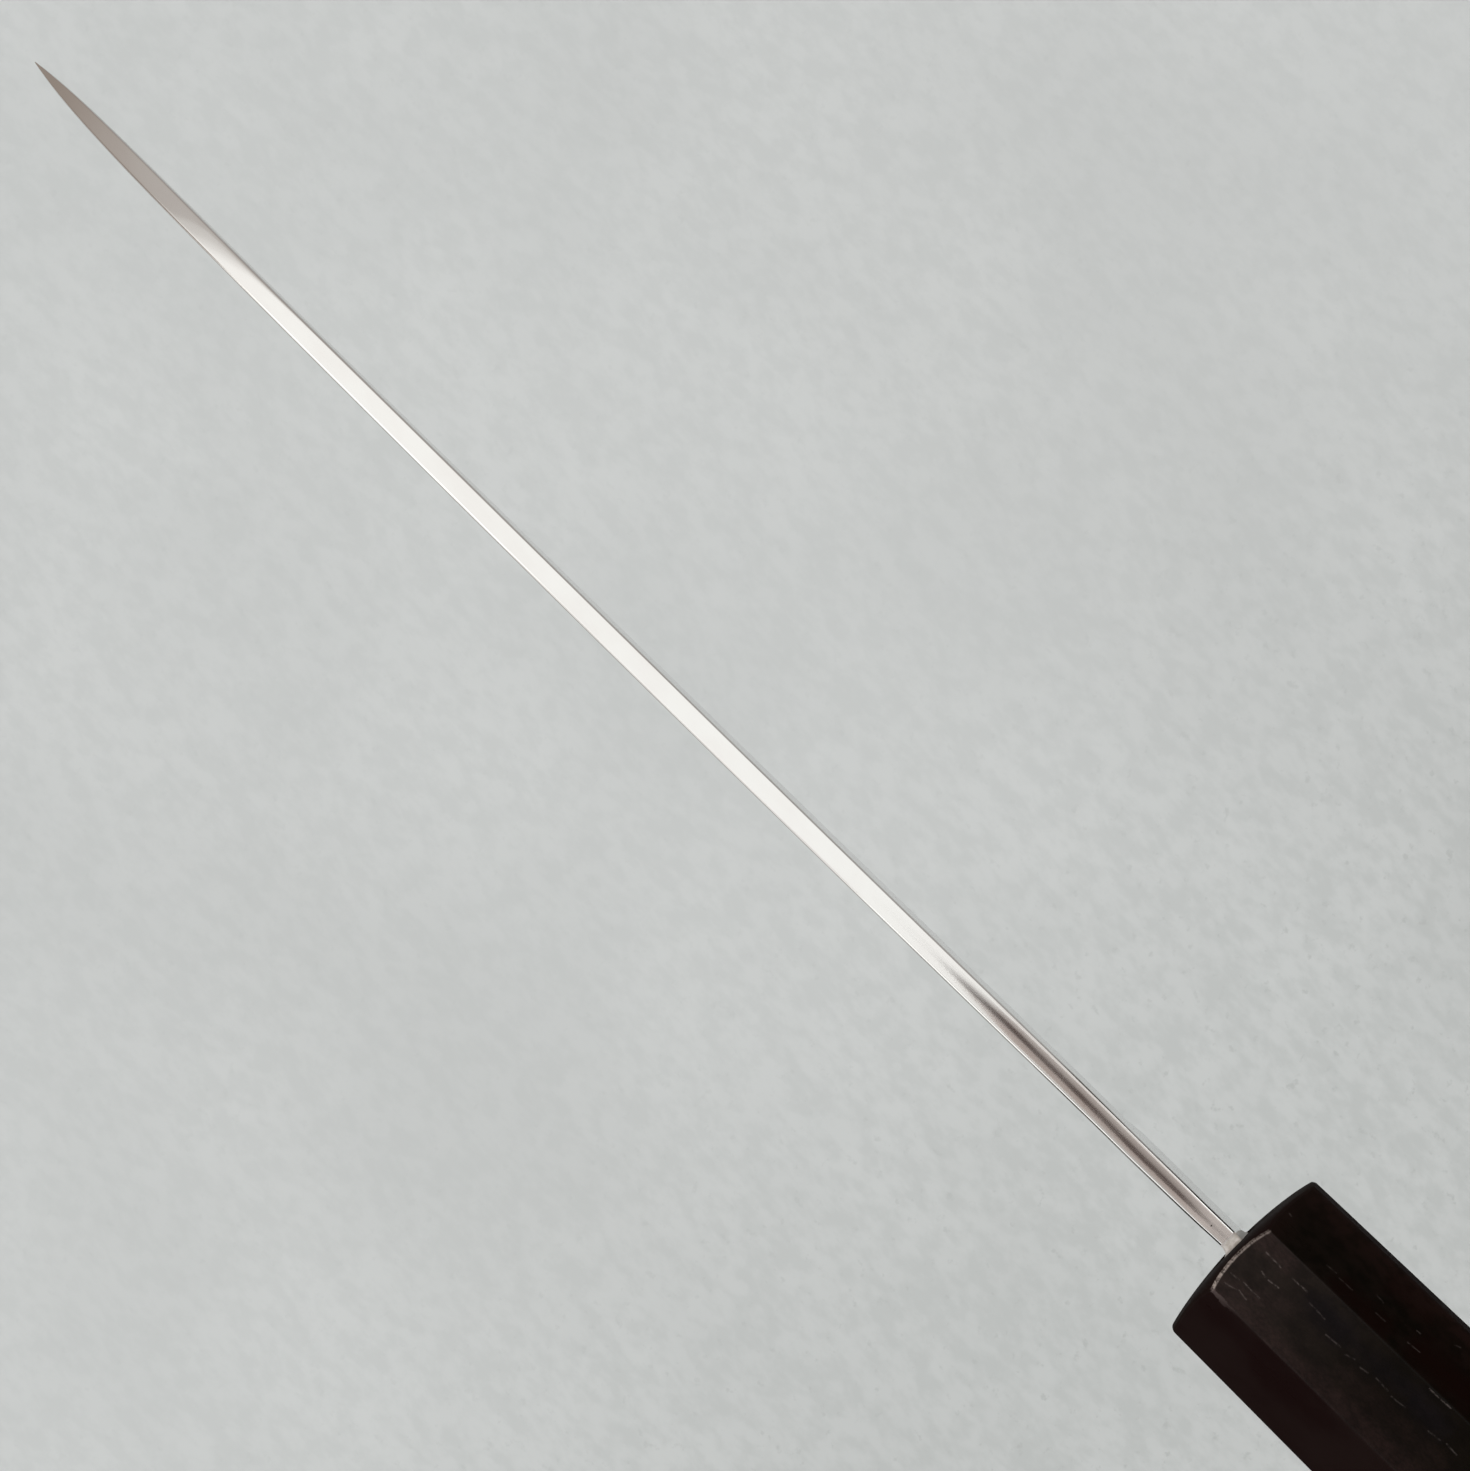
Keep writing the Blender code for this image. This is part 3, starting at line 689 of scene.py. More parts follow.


# %% [markdown]
# ## Steel
# The spine is polished lengthwise and reads as a strip of mirror. The ground faces are satin, with
# rubbing marks from spine to edge, and below a wavy line the harder core shows as a brighter band.
# The cutting bevel is honed bright. One dark speck lies near the mouth, and the neck is darker in a patch at
# its upper right corner there.

# %% The steel's colour
SPINE_COLOURS = (0.64, 0.612, 0.588), (0.66, 0.64, 0.615)
FACE_COLOURS = (0.75, 0.745, 0.74), (0.80, 0.795, 0.79)
CORE_COLOUR, DARK_MARK_COLOUR = (0.83, 0.83, 0.825), (0.05, 0.04, 0.037)
CORE_HEIGHT, CORE_WAVE = 6.6, 4.5
SPECK_PLACE = (-3.0, 0.12, 5.0)
DARK_PATCH_STRETCH, DARK_PATCH_PLACE = (0.5, 1.0, 0.6), (-1.8, 1.2, 2.6)

steel = Finish("polished_and_satin_steel")
polish = steel.attribute("polish")
above = steel.attribute("above_edge")
patchy = cloud_on(steel, 0.16, (1.0, 2.0, 1.0))
long_marks = marks_on(steel, (0.02, 1.0, 0.4), 9.0)
cross_marks = marks_on(steel, (1.0, 0.1, 0.035), 7.0)
line_wave = steel.noise(steel.stretched(steel.point, (1.0, 0.0, 0.0)), 0.22, 3.0)
line_at = steel.total(CORE_HEIGHT, (line_wave, CORE_WAVE))
core = steel.ramp(steel.math("SUBTRACT", above, line_at), -0.25, 0.25, 1.0, 0.0)
bevel_mask = steel.ramp(above, 0.50, 0.60, 1.0, 0.0)
spine_colour = steel.mix(patchy, *SPINE_COLOURS)
face_colour = steel.mix(patchy, *FACE_COLOURS)
face_colour = steel.mix(steel.times(core, 0.6), face_colour, CORE_COLOUR)
colour = steel.mix(polish, face_colour, spine_colour)
ragged = steel.noise(steel.point, 3.0)
near_speck = steel.vector("DISTANCE", steel.point, SPECK_PLACE, 1)
speck = steel.ramp(steel.total(near_speck, (ragged, 0.10)), 0.10, 0.18, 0.85, 0.0)
# A darker patch at the neck's upper right corner, a few millimetres before the mouth.
dark_patch = steel.vector("DISTANCE", steel.vector("MULTIPLY", steel.point, DARK_PATCH_STRETCH), DARK_PATCH_PLACE, 1)
dark_patch = steel.ramp(dark_patch, 0.15, 0.5, 0.30, 0.0)
steel.give(Base_Color=steel.mix(steel.math("MAXIMUM", speck, dark_patch), colour, DARK_MARK_COLOUR))

# %% The steel's gloss and relief
face_rough = steel.total(0.18, (cross_marks["Mask"], 0.08), (core, -0.07), (bevel_mask, -0.12))
spine_rough = steel.total(0.05, (long_marks["Mask"], 0.02), (patchy, 0.02))
steel.give(Roughness=steel.between(polish, face_rough, spine_rough))
relief = steel.between(polish, cross_marks["Height"], long_marks["Height"])
steel.bump(relief, steel.ramp(polish, 0.0, 1.0, 0.15, 0.02, "LINEAR"), 0.000004)
steel.give(Metallic=1.0)
steel.dress(blade)

# %% [markdown]
# ## Dark wood
# Near-black, close-grained and rubbed smooth. What shows is low and slow: paler patches where the
# top face has been handled, a front of the top face made paler by a painted reflection, open pores
# as short pale dashes along the grain, and the front arris of the top face worn to bare wood and
# painted brighter still as a highlight. The eye goes to the front end first, so its pores are placed
# one by one and chance takes over behind them. A stroke is a soft line between two points: a pore,
# a run or a patch. About forty of them is near what a renderer takes in one material.

# %% Strokes: one group for a pore, a run or a patch
stroke, given, result = new_group("stroke", {
    "Point": (0.0, 0.0, 0.0), "Start": (0.0, 0.0, 0.0), "End": (1.0, 0.0, 0.0), "Width": 0.1,
    "Strength": 1.0, "So Far": 0.0}, "Mask")
reach = stroke.vector("SUBTRACT", given["End"], given["Start"])
offset = stroke.vector("SUBTRACT", given["Point"], given["Start"])
share = stroke.math("DIVIDE", stroke.vector("DOT_PRODUCT", offset, reach, 1),
                    stroke.vector("DOT_PRODUCT", reach, reach, 1), clamp=True)
nearest = stroke.put("VectorMath", reach, sockets={"Scale": share}, operation="SCALE").outputs[0]
gap = stroke.vector("DISTANCE", offset, nearest, 1)
mask = stroke.ramp(gap, 0.0, given["Width"], given["Strength"], 0.0)
stroke.feed(result["Mask"], stroke.math("MAXIMUM", mask, given["So Far"]))


def strokes(finish, point, places, width=0.12):
    """A chain of strokes: start x, y, end x, y, strength and perhaps a width; gives the joint mask."""
    so_far = 0.0
    for start_x, start_y, end_x, end_y, strength, *wide in places:
        so_far = finish.group(stroke.tree, Point=point, Start=(start_x, start_y, 0.0),
                              End=(end_x, end_y, 0.0), Width=wide[0] if wide else width,
                              Strength=strength, So_Far=so_far)["Mask"]
    return so_far


# %% The pores that are placed one by one
# start x and y, end x and y, in millimetres from the middle of the front end, and how pale it is
TOP_FACE_PORES = [
    (2.4, 2.25, 4.4, 2.2, 1.0), (3.4, 0.65, 4.0, 0.5, 1.0), (4.4, 0.5, 5.6, 0.65, 1.0),
    (5.9, 2.2, 7.8, 2.3, 0.85), (8.7, 1.7, 10.8, 1.6, 0.40), (1.4, -1.5, 2.4, -1.45, 0.5),
    (2.9, -1.3, 5.0, -1.35, 0.95), (1.6, -2.6, 2.9, -2.3, 0.65), (3.1, -2.15, 4.2, -2.3, 0.7),
    (11.9, 0.6, 13.7, 0.75, 0.45), (14.5, 0.55, 15.5, 0.85, 0.35), (16.4, 0.65, 17.3, 0.8, 0.45),
    (18.2, 1.0, 19.8, 0.9, 0.35), (20.4, 0.75, 22.1, 0.9, 0.35), (22.5, 3.8, 25.2, 3.9, 0.85),
    (25.2, 0.85, 26.6, 1.0, 0.3), (27.3, 1.2, 28.7, 1.1, 0.5),
]
RIGHT_FACE_PORES = [
    (1.4, 6.35, 1.8, 6.3, 0.9), (7.4, 5.35, 8.6, 5.45, 0.5), (9.1, 5.3, 10.8, 5.35, 0.5),
    (12.8, 6.6, 13.8, 6.5, 0.55), (13.9, 5.35, 15.1, 5.4, 0.5), (18.0, 5.45, 19.5, 5.6, 0.8),
    (17.9, 6.8, 18.4, 6.85, 0.8), (21.5, 8.3, 22.1, 8.5, 0.7),
]

# %% [markdown]
# Handling leaves the top face patchy: pinkish where its front corner and left arris are rubbed, with
# a violet-grey streak down its right half. The slanted right face has a few red runs in wood that is
# painted almost black near the front as shade. They are placed the same way, as broad soft strokes.

# %% The patches that are placed one by one
# start, end, strength, and the width at which a patch has faded out
PINK_PATCHES = [
    (1.2, 3.2, 4.5, 3.3, 0.9, 1.8), (1.5, -2.6, 4.5, -1.9, 0.55, 1.8), (5.0, -1.5, 7.5, -0.1, 0.60, 1.7),
    (2.0, -3.8, 6.5, -3.5, 0.85, 1.8), (6.5, -3.5, 13.5, -3.6, 0.9, 2.2),
    (13.5, -3.6, 19.0, -3.5, 1.0, 2.6), (19.0, -3.6, 31.0, -3.4, 0.9, 3.0),
    (16.0, -0.9, 28.0, -0.6, 0.42, 2.0),
]
VIOLET_PATCHES = [
    (9.6, 2.0, 12.3, 1.8, 0.8, 2.4), (12.5, 2.0, 17.0, 1.7, 0.5, 1.6), (17.0, 2.0, 21.0, 2.3, 0.6, 1.8),
    (22.5, 2.2, 25.5, 2.0, 0.8, 2.2),
]
RED_RUNS = [
    (9.5, 4.7, 15.5, 4.9, 0.8, 1.8), (19.5, 5.6, 32.0, 6.4, 1.0, 2.8), (13.5, 8.5, 17.5, 8.8, 0.8, 1.8),
]

# %% Where a point of the wood is
# The top face's half width and the right arris's y both grow with x, as the handle swells.
wood = Finish("dark_planed_wood")
point = wood.point
behind = wood.attribute("behind_rim")
on_end = wood.attribute("end_grain")
along, across, up = wood.split(point)
flat_point = wood.vector("MULTIPLY", point, (1.0, 1.0, 0.0))
top_edge = wood.total(FRONT_TOP_FACE / 2, (along, 0.006))
from_arris = wood.math("SUBTRACT", wood.math("ABSOLUTE", across), top_edge)
upper = wood.ramp(up, 4.6, 5.1)
on_top = wood.times(wood.ramp(from_arris, -0.05, 0.05, 1.0, 0.0), upper)
right_side = wood.ramp(across, -0.5, 0.5)
streaks = cloud_on(wood, 0.16, (0.5, 1.0, 1.0), 0.34, 0.66)
slow = cloud_on(wood, 0.16, (0.55, 1.0, 1.0), 0.36, 0.62)
grain = marks_on(wood, (0.15, 1.0, 1.0), 1.2)

# %% The wood's pores
# Chance pores are long cells of which about a third are kept; they start behind the placed ones.
long_cells = wood.stretched(point, (0.34, 3.0, 3.0))
cells = wood.put("TexVoronoi", long_cells, sockets={"Scale": 0.42, "Randomness": 1.0})
cell_number = wood.put("SeparateColor", cells.outputs["Color"]).outputs[0]
chosen = wood.ramp(cell_number, 0.62, 0.72)
pore = wood.times(wood.ramp(cells.outputs["Distance"], 0.10, 0.17, 1.0, 0.0), chosen)
beyond = wood.ramp(along, 29.0, 34.0)
pore = wood.times(pore, wood.math("MAXIMUM", beyond, wood.math("SUBTRACT", 1.0, upper)))
placed = wood.times(strokes(wood, flat_point, TOP_FACE_PORES, 0.13), on_top)
off_top = wood.times(wood.math("SUBTRACT", upper, on_top), 0.62)
right_pores = wood.times(strokes(wood, flat_point, RIGHT_FACE_PORES, 0.10), off_top)
placed = wood.math("MAXIMUM", placed, right_pores)
crumbly = wood.noise(wood.stretched(point, (1.3, 2.5, 2.5)), 1.6, 3.0, 0.7)
placed = wood.times(placed, wood.ramp(crumbly, 0.40, 0.60, 0.12, 1.0))
pore = wood.math("MAXIMUM", pore, placed)

# %% The wood's colours away from the top face, with painted shade and painted light on its right
BASE_COLOURS = (0.0093, 0.0037, 0.0034), (0.0129, 0.0068, 0.0060)
SHADED_RIGHT_FACE_COLOURS = (0.0036, 0.0025, 0.0014), (0.0066, 0.0040, 0.0028)
RED_COLOUR, RUBBED_EDGE_COLOUR = (0.0062, 0.0020, 0.0012), (0.0115, 0.0054, 0.0042)
CORNER_PAINTED_LIGHT_COLOUR = (0.0240, 0.0140, 0.0118)

warp = wood.noise(point, 0.8, 4.0, 0.6, "Color")
warp = wood.vector("MULTIPLY", wood.vector("SUBTRACT", warp, (0.5, 0.5, 0.5)), (3.0, 2.2, 0.0))
loose_point = wood.vector("ADD", flat_point, warp)
patchy = cloud_on(wood, 0.75, (0.7, 1.0, 1.0), 0.36, 0.64)
base = wood.mix(streaks, *BASE_COLOURS)
# Painted shade: near the front, the upper slanted right face gets a near-black colour.
near_front = wood.ramp(along, 36.0, 60.0, 1.0, 0.0)
right_upper_shade = wood.times(right_side, upper, near_front)
shaded_right_face = wood.mix(patchy, *SHADED_RIGHT_FACE_COLOURS)
shaded_right_face = wood.mix(strokes(wood, loose_point, RED_RUNS), shaded_right_face, RED_COLOUR)
from_far_edge = wood.math("SUBTRACT", wood.total(FRONT_WIDTH / 2, (along, 0.017)), across)
far_edge = wood.times(wood.ramp(from_far_edge, 0.2, 3.2, 1.0, 0.0), wood.ramp(patchy, 0.0, 1.0, 0.45, 1.0))
at_rim = wood.ramp(behind, 0.2, 2.8, 0.5, 0.0)
shaded_right_face = wood.mix(wood.math("MAXIMUM", far_edge, at_rim), shaded_right_face, RUBBED_EDGE_COLOUR)
base = wood.mix(right_upper_shade, base, shaded_right_face)
# Painted light: the round corner along the far right edge, near the front, is lightened against its own
# shade.
corner = wood.times(wood.ramp(from_far_edge, -0.35, 0.15, 1.0, 0.0), wood.ramp(up, 4.1, 4.6))
base = wood.mix(wood.times(corner, near_front), base, CORNER_PAINTED_LIGHT_COLOUR)

# %% The top face: a painted reflection, and handling wear
TOP_REFLECTION_COLOURS = (0.0158, 0.0109, 0.0090), (0.0044, 0.0026, 0.0013)
PINK_ADDED, VIOLET_COLOUR = (0.0085, 0.0040, 0.0042), (0.0050, 0.0034, 0.0040)
PORE_COLOUR = (0.085, 0.068, 0.063)

# Painted reflection: the top face is paler at its front and darker behind, as the overhead light's
# reflection fades.
top_reflection_and_wear = wood.mix(wood.ramp(along, 1.0, 19.5, kind="LINEAR"), *TOP_REFLECTION_COLOURS)
chance = wood.times(wood.times(slow, 0.7), wood.ramp(along, 28.0, 36.0))
pink = wood.math("MAXIMUM", strokes(wood, loose_point, PINK_PATCHES), chance)
pink = wood.times(pink, wood.ramp(crumbly, 0.35, 0.65, 0.72, 1.25, "LINEAR"))
top_reflection_and_wear = wood.mix(pink, top_reflection_and_wear, PINK_ADDED, "ADD")
top_reflection_and_wear = wood.mix(strokes(wood, loose_point, VIOLET_PATCHES), top_reflection_and_wear, VIOLET_COLOUR)
for mottle, low, high, dark, light in ((patchy, 0.0, 1.0, 0.80, 1.14), (crumbly, 0.30, 0.70, 0.84, 1.16)):
    top_reflection_and_wear = wood.mix(1.0, top_reflection_and_wear, wood.ramp(mottle, low, high, dark, light, "LINEAR"), "MULTIPLY")
colour = wood.mix(on_top, base, top_reflection_and_wear)
colour = wood.mix(wood.times(pore, 0.9), colour, PORE_COLOUR)

# %% [markdown]
# The worn line, which is also a painted highlight, lies on the roll of the rim, on the top face's stretch of
# it alone, and is crumbly. The left arris of the top face is rubbed too, for a few millimetres behind its
# front corner.

# %% The worn line with its painted highlight, the left arris and the end grain
WORN_AND_HIGHLIGHT_COLOUR, LEFT_ARRIS_COLOUR = (0.330, 0.272, 0.243), (0.078, 0.056, 0.053)
END_COLOURS = (0.0085, 0.0030, 0.0022), (0.0120, 0.0066, 0.0048)

# Painted highlight: a bright line on the rim's roll along the top face, partly bare worn wood.
worn_line_and_highlight = wood.times(wood.ramp(behind, -0.40, -0.26), wood.ramp(behind, -0.02, 0.14, 1.0, 0.0))
worn_line_and_highlight = wood.times(worn_line_and_highlight, wood.ramp(crumbly, 0.34, 0.58, 0.30, 1.0))
worn_line_and_highlight = wood.times(worn_line_and_highlight, wood.ramp(across, -3.5, 3.5, 1.0, 0.5))
line_there = wood.times(wood.ramp(from_arris, -0.10, 0.16, 1.0, 0.0), upper)
worn_line_and_highlight = wood.times(worn_line_and_highlight, line_there)
colour = wood.mix(worn_line_and_highlight, colour, WORN_AND_HIGHLIGHT_COLOUR)
edge_gap = wood.math("ABSOLUTE", from_arris)
ragged = wood.noise(wood.stretched(point, (0.9, 1.0, 1.0)), 1.1, 4.0, 0.65)
strip_width = wood.ramp(ragged, 0.30, 0.66, 0.08, 0.40)
left_strip = wood.ramp(wood.math("DIVIDE", edge_gap, strip_width), 0.6, 1.0, 1.0, 0.0)
left_strip = wood.times(left_strip, wood.math("SUBTRACT", 1.0, right_side))
left_strip = wood.times(left_strip, wood.ramp(along, 0.5, 5.0, 0.85, 0.0), upper)
colour = wood.mix(left_strip, colour, LEFT_ARRIS_COLOUR)
end_colour = wood.mix(streaks, *END_COLOURS)
end_share = wood.times(on_end, wood.math("SUBTRACT", 1.0, worn_line_and_highlight))
wood.give(Base_Color=wood.mix(end_share, colour, end_colour))

# %% The wood's gloss and relief
# The upright sides are left rougher than the top, and end grain is rougher still.
rough = wood.total(0.27, (grain["Mask"], 0.03), (slow, 0.06))
on_side = wood.ramp(wood.math("ABSOLUTE", up), 5.0, 5.6, 0.62, 0.0)
rough = wood.total(wood.math("ADD", on_side, rough), (pore, 0.15), (on_end, 0.50))
wood.give(Roughness=wood.math("MINIMUM", rough, 0.9))
wood.bump(wood.total(grain["Height"], (pore, -1.5)), 0.02, 0.00002)
wood.give(Specular_IOR_Level=0.05)
wood.dress(handle)

# %% [markdown]
# ## Resins
# The bead at the mouth is pale cream, greyer at its thin front edge on the steel, painted grey as
# shade on its right side and painted darker as shade next to the wood. The bedding inside the
# handle is the same kind of resin, amber where it is thick. Both are cast, so both have faint
# specks and a soft shine.

# %% The bead's resin
CREAM_COLOURS = (0.52, 0.465, 0.405), (0.82, 0.775, 0.745)
CREAM_SPECK, RIGHT_SIDE_SHADE_GREY = (0.26, 0.22, 0.18), (0.22, 0.215, 0.205)
THIN_COLOUR, WOOD_SIDE_SHADE = (0.47, 0.43, 0.42), (0.12, 0.10, 0.085)

cream = Finish("cream_resin")
along, across = cream.split(cream.point)[:2]
mottled = cloud_on(cream, 1.3, low=0.35)
speck = cloud_on(cream, 5.0, low=0.66, high=0.74)
# Painted shade: the bead's right side is greyed.
shaded_right_side = cream.times(cream.ramp(across, 1.05, 1.30), cream.ramp(along, -0.85, -0.30))
thin = cream.ramp(along, -1.05, -0.70, 0.5, 0.0)
colour = cream.mix(mottled, *CREAM_COLOURS)
colour = cream.mix(cream.times(speck, 0.6), colour, CREAM_SPECK)
colour = cream.mix(cream.times(shaded_right_side, 0.75), colour, RIGHT_SIDE_SHADE_GREY)
colour = cream.mix(thin, colour, THIN_COLOUR)
# Painted shade: the bead darkens next to the wood.
shade_by_wood = cream.ramp(along, -0.35, 0.0, 0.0, 0.40)
cream.give(Base_Color=cream.mix(shade_by_wood, colour, WOOD_SIDE_SHADE))
cream.give(Roughness=cream.ramp(mottled, 0.0, 1.0, 0.42, 0.58))
cream.bump(mottled, 0.5, 0.00004)
cream.dress(seal)

# %% The bedding's resin
AMBER_COLOURS = (0.36, 0.24, 0.12), (0.50, 0.37, 0.21)
AMBER_SPECK = (0.20, 0.13, 0.07)

amber = Finish("amber_resin")
mottled = cloud_on(amber, 0.5)
speck = cloud_on(amber, 3.0, low=0.64, high=0.72)
colour = amber.mix(mottled, *AMBER_COLOURS)
amber.give(Base_Color=amber.mix(amber.times(speck, 0.6), colour, AMBER_SPECK))
amber.give(Roughness=amber.ramp(speck, 0.0, 1.0, 0.32, 0.5))
amber.bump(mottled, 0.4, 0.00006)
amber.dress(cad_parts["tang_bedding"])

# %% [markdown]
# ## Floor
# A sheet of pale paper, a hand's breadth below the knife, so that hardly any shadow reaches it. A
# slow cloud and a little fibre vary it faintly, it is more mottled near the handle, and it is
# painted greyer there as shade.


# %% The paper floor
def flat_thing(name, corners):
    """One flat face, shown in the scene but not attached to the knife."""
    mesh = bpy.data.meshes.new(name)
    mesh.from_pydata(corners, [], [tuple(range(len(corners)))])
    thing = shown(name, mesh)
    return thing


def sheet(x, y, z):
    """Four corners of a sheet that spans x; y and z go from its first long side to its second."""
    return [(x[0], y[0], z[0]), (x[1], y[0], z[0]), (x[1], y[1], z[1]), (x[0], y[1], z[1])]


FLOOR_SPAN, FLOOR_Z = (-5.0, 5.0), -0.10
PAPER_COLOURS = (0.640, 0.654, 0.652), (0.676, 0.690, 0.688)
FIBRE_COLOUR, FLECK_COLOUR = (0.578, 0.595, 0.591), (0.545, 0.560, 0.556)
HANDLE_END_SHADE = (0.945, 0.948, 0.944)

floor = flat_thing("paper_floor", sheet(FLOOR_SPAN, FLOOR_SPAN, (FLOOR_Z, FLOOR_Z)))
paper = Finish("pale_paper")
slow = cloud_on(paper, 0.03)
fibre = cloud_on(paper, 0.35, (1.0, 1.6, 1.0), 0.34, 0.66)
fleck = cloud_on(paper, 0.8, low=0.60, high=0.74)
toward_handle = paper.ramp(paper.split(paper.point)[0], -75.0, 15.0)
colour = paper.mix(slow, *PAPER_COLOURS)
fibre_share = paper.total(0.4, (toward_handle, 0.4))
colour = paper.mix(fibre_share, colour, paper.mix(fibre, colour, FIBRE_COLOUR))
colour = paper.mix(paper.times(fleck, paper.total(0.2, (toward_handle, 0.8))), colour, FLECK_COLOUR)
# Painted shade: the paper darkens towards the handle end.
colour = paper.mix(toward_handle, colour, paper.mix(1.0, colour, HANDLE_END_SHADE, "MULTIPLY"))
paper.give(Base_Color=colour, Roughness=0.85, Specular_IOR_Level=0.1)
paper.dress(floor)

# %% [markdown]
# ## Lamps
# A wide soft panel hangs overhead, off towards the tip, so that the polished spine shows it as one
# long bright strip that stops short of the neck. Four panels of slightly different length make its
# far end fade. Two softboxes light the sides, and two panels stand for a pale wall and the light
# behind the butt.

# %% The lamps
COOL, NEUTRAL = (0.925, 0.985, 1.0), (1.0, 1.0, 1.0)
PANEL_TURN = math.radians(20.8)
PANEL_NEAR_END, PANEL_HEIGHT, PANEL_STEP, PANEL_WIDTH = 0.08, 2.2, 0.03, 3.2
PANELS = [(-1.245, 0.195), (-1.14, 0.18), (-1.08, 0.195), (-1.03, 0.185)]
# name, place, the point it faces, width, height, level and colour
SOFTBOXES = [
    ("left_softbox", (-0.1, -1.5, 1.9), (-0.1, 0.0, 0.0), 2.1, 2.1, 1.08, COOL),
    ("right_softbox", (0.50, 1.5, 1.9), (0.50, 0.0, 0.0), 1.0, 1.5, 1.2, COOL),
    ("left_wall_panel", (-0.44, -1.7, 0.72), (-0.44, 0.0, 0.72), 0.72, 1.44, 0.6, NEUTRAL),
    ("butt_softbox", (1.6, 0.0, 1.6), (0.0, 0.0, 0.0), 1.6, 1.6, 0.6, COOL),
]


def softbox(name, place, aim, width, height, level, colour):
    """A square lamp whose surface is as bright as level, where 1 is white."""
    lamp = bpy.data.lights.new(name, "AREA")
    lamp.shape = "RECTANGLE"
    lamp.size, lamp.size_y = width, height
    lamp.energy = level * math.pi * width * height
    lamp.color = colour
    thing = shown(name, lamp)
    thing.location = place
    thing.rotation_mode = "QUATERNION"
    thing.rotation_quaternion = (Vector(aim) - Vector(place)).to_track_quat("-Z", "Y")
    thing.visible_camera = False
    return thing


for number, (far_end, level) in enumerate(PANELS):
    middle = (far_end + PANEL_NEAR_END) / 2
    panel = softbox("overhead_panel_%d" % (number + 1), (middle, 0.0, PANEL_HEIGHT - PANEL_STEP * number),
                    (middle, 0.0, 0.0), (PANEL_NEAR_END - far_end) * math.cos(PANEL_TURN), PANEL_WIDTH,
                    level, COOL)
    panel.rotation_quaternion = Quaternion((0, 0, 1), -PANEL_TURN) @ panel.rotation_quaternion
for row in SOFTBOXES:
    softbox(*row)
print("lamps", len(PANELS) + len(SOFTBOXES))

# %% [markdown]
# ## Cards
# Polished steel is mostly what it mirrors, so flags, nets and bounces hang round it, as they do in
# a studio, and only shiny surfaces see them. Flags over the neck make its dark streaks, and those
# behind them the grey and dark lengths nearer the handle. A net holds back the left softbox, a
# bounce fills in on the right, and low dark cards stand in for the handle's shadow below it, a
# painted shadow that only shows mirrored, and keep the handle's slanted faces dark.

# %% The cards
SPINE_Z = (SPINE_ABOVE_AXIS + DATUM[2]) * MM


def card(name, corners, axis, low, high):
    """A card that only shows in shiny surfaces: its colour runs from low to high along an axis."""
    thing = flat_thing(name, corners)
    for ray in ("camera", "diffuse", "shadow", "transmission", "volume_scatter"):
        setattr(thing, "visible_" + ray, False)
    cloth = Finish(name + "_cloth")
    span = [corner[axis] / MM - DATUM[axis] for corner in corners]
    place = cloth.split(cloth.point)[axis]
    weave = cloud_on(cloth, 0.05, low=0.2, high=0.8)
    share = cloth.total(cloth.ramp(place, min(span), max(span), -0.06, 0.94), (weave, 0.12))
    cloth.give(Emission_Color=cloth.mix(share, low, high), Emission_Strength=1.0,
               Base_Color=(0.0, 0.0, 0.0), Specular_IOR_Level=0.0, Roughness=1.0)
    cloth.dress(thing)


def over_spine(places, height):
    """Corners given in millimetres from the datum, at a height in metres over the spine."""
    return [((x + DATUM[0]) * MM, y * MM, SPINE_Z + height) for x, y in places]


def square(x, y):
    """Four corners of a rectangle that spans x and y."""
    return [(x[0], y[0]), (x[1], y[0]), (x[1], y[1]), (x[0], y[1])]


LEFT_BAR = [(-48, -108), (-30, -99), (5, -99), (5, -52), (-60, -52)]
BROAD_STREAK = [(-60, -58), (-42, -51), (5, -58), (5, 40), (-37, 40), (-42, 27), (-52, 8), (-60, -22)]
NARROW_STREAK = [(-60.5, -48), (-60.5, -26), (-50, -16), (-38, -14), (-22, -18), (-12, -25), (5, -30),
                 (6.5, -34), (6.5, -60), (5, -64), (-12, -69), (-22, -60), (-38, -46)]
# name, outline, height, the axis along which it changes, and its two colours
FLAGS = [
    ("left_bar_flag", LEFT_BAR, 0.822, 1, (0.58, 0.50, 0.46), (0.52, 0.45, 0.42)),
    ("broad_streak_flag", BROAD_STREAK, 0.815, 1, (0.22, 0.19, 0.18), (0.62, 0.56, 0.53)),
    ("narrow_streak_flag", NARROW_STREAK, 0.805, 1, (0.115, 0.086, 0.079), (0.15, 0.12, 0.111)),
    ("right_bar_flag", square((-52, 3), (46, 500)), 0.83, 1, (1.02, 0.98, 0.96), (1.0, 0.96, 0.94)),
    ("grey_flag", square((5, 17), (-400, 120)), 0.85, 0, (0.88, 0.82, 0.79), (0.78, 0.73, 0.70)),
    ("graded_flag", square((17, 110), (-400, 400)), 0.85, 0, (0.32, 0.29, 0.28), (0.05, 0.047, 0.045)),
    ("dark_flag", square((110, 800), (-400, 400)), 0.85, 0, (0.05, 0.047, 0.045), (0.10, 0.095, 0.09)),
]
for name, outline, height, axis, low, high in FLAGS:
    card(name, over_spine(outline, height), axis, low, high)
card("left_net", sheet((-0.62, -0.15), (-2.31, -0.66), (1.23, 2.53)), 1, (0.975, 0.968, 0.96),
     (0.99, 0.982, 0.975))
card("right_bounce", sheet((-0.9, -0.02), (0.9, 0.9), (-0.09, 0.65)), 2, (0.46, 0.455, 0.45),
     (0.52, 0.515, 0.51))

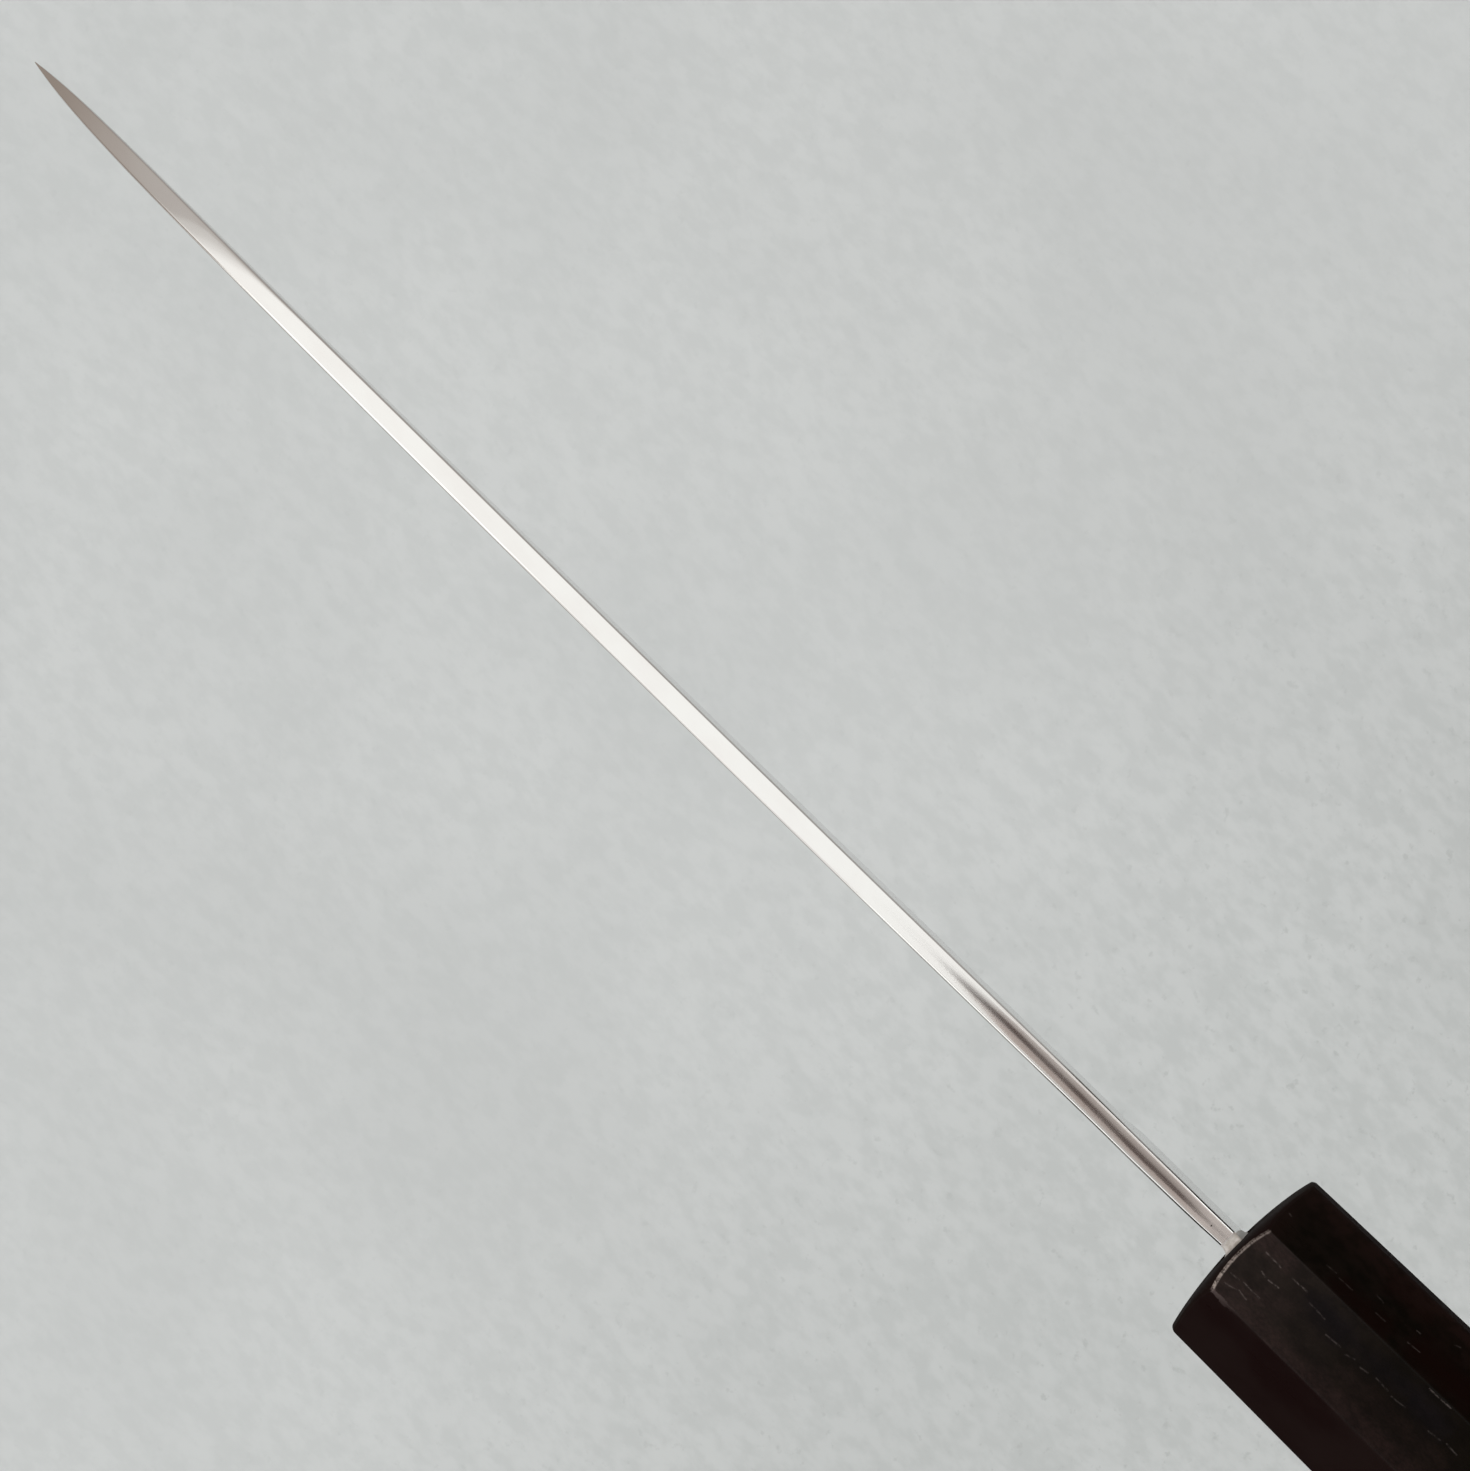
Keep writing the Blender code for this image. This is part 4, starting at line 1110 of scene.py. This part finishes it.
# %% The low cards beside and under the handle, a painted shadow
# Painted shadow: the low cards and the one under the handle are dark sheets where only the handle's shadow
# would be, seen only in its shine.
LOW_CARD_Y, LOW_CARD_Z = 0.07, (-0.095, 0.05)
low_edge = [(x + DATUM[0]) * MM for x in (-15, -2, 100)]
for side, name in ((-1, "left"), (1, "right")):
    card(name + "_handle_flag", sheet((-0.01, 0.8), (side * 0.5, side * 0.5), (-0.09, 0.5)), 0,
         (0.075, 0.07, 0.065), (0.06, 0.055, 0.05))
    for first, part, low, high in ((0, "graded", 0.42, 0.04), (1, "dark", 0.04, 0.04)):
        corners = sheet(low_edge[first:], (side * LOW_CARD_Y, side * LOW_CARD_Y), LOW_CARD_Z)
        card(name + "_low_flag_" + part, corners, 0, (low, low, low), (high, high, high))
under = [(x + DATUM[0]) * MM for x in (14, 160)]
card("under_handle_flag", sheet(under, (-0.3, 0.3), (-0.094, -0.094)), 0, (0.06, 0.05, 0.046),
     (0.06, 0.05, 0.046))

# %% [markdown]
# ## Room
# The room behind the tip is warm and brightens upwards, which the spine's last taper mirrors. The
# rest is pale, and dimmer near the floor.

# %% The room
BEHIND_TIP_COLOURS = (1.0, 0.87, 0.775), (1.0, 0.965, 0.935)
ELSEWHERE_COLOUR = (1.0, 0.985, 0.97)

world = bpy.data.worlds.new("pale_room")
world.use_nodes = True
room = Graph(world.node_tree)
way_x, _, way_z = room.split(room.put("TexCoord").outputs["Generated"])
behind_tip = room.math("POWER", room.ramp(way_z, 0.35, 0.88, kind="LINEAR"), 2.3)
warm = room.mix(behind_tip, *BEHIND_TIP_COLOURS)
behind_tip = room.total(0.415, (behind_tip, 0.27))
elsewhere = room.ramp(way_z, -0.1, 1.0, 0.22, 0.66)
handle_way = room.ramp(way_x, -0.45, 0.02)
background = room.tree.nodes["Background"].inputs
room.feed(background["Strength"], room.between(handle_way, behind_tip, elsewhere))
room.feed(background["Color"], room.mix(handle_way, warm, ELSEWHERE_COLOUR))
bpy.context.scene.world = world

# %% [markdown]
# ## Camera
# The camera looks straight down from 0.8 m, a little to the right, so that a thin strip of the
# blade's right face shows. It stands over the heel, aims at the middle of the blade, and is turned
# so that the knife lies on the picture's diagonal.

# %% The camera
CAMERA_X, CAMERA_Y, CAMERA_Z = -14.0, 40.5, 805.0
CAMERA_TILT = tuple(math.radians(angle) for angle in (-2.762, 3.909, 44.263))
PIXELS_LONG = 1471.0
FOCAL_PIXELS = 8317.7
camera_data = bpy.data.cameras.new("camera")
camera_data.sensor_width = 36.0
camera_data.lens = FOCAL_PIXELS / PIXELS_LONG * camera_data.sensor_width
camera_data.clip_end = 20.0
camera = shown("camera", camera_data)
camera.location = Vector(((CAMERA_X + DATUM[0]) * MM, CAMERA_Y * MM, (CAMERA_Z + DATUM[2]) * MM))
camera.rotation_mode = "QUATERNION"
turn = Quaternion((1, 0, 0), CAMERA_TILT[0]) @ Quaternion((0, 1, 0), CAMERA_TILT[1])
camera.rotation_quaternion = turn @ Quaternion((0, 0, 1), CAMERA_TILT[2])
bpy.context.scene.camera = camera
bpy.context.scene.view_settings.view_transform = "Standard"
print("lens", round(camera_data.lens, 2), "mm")
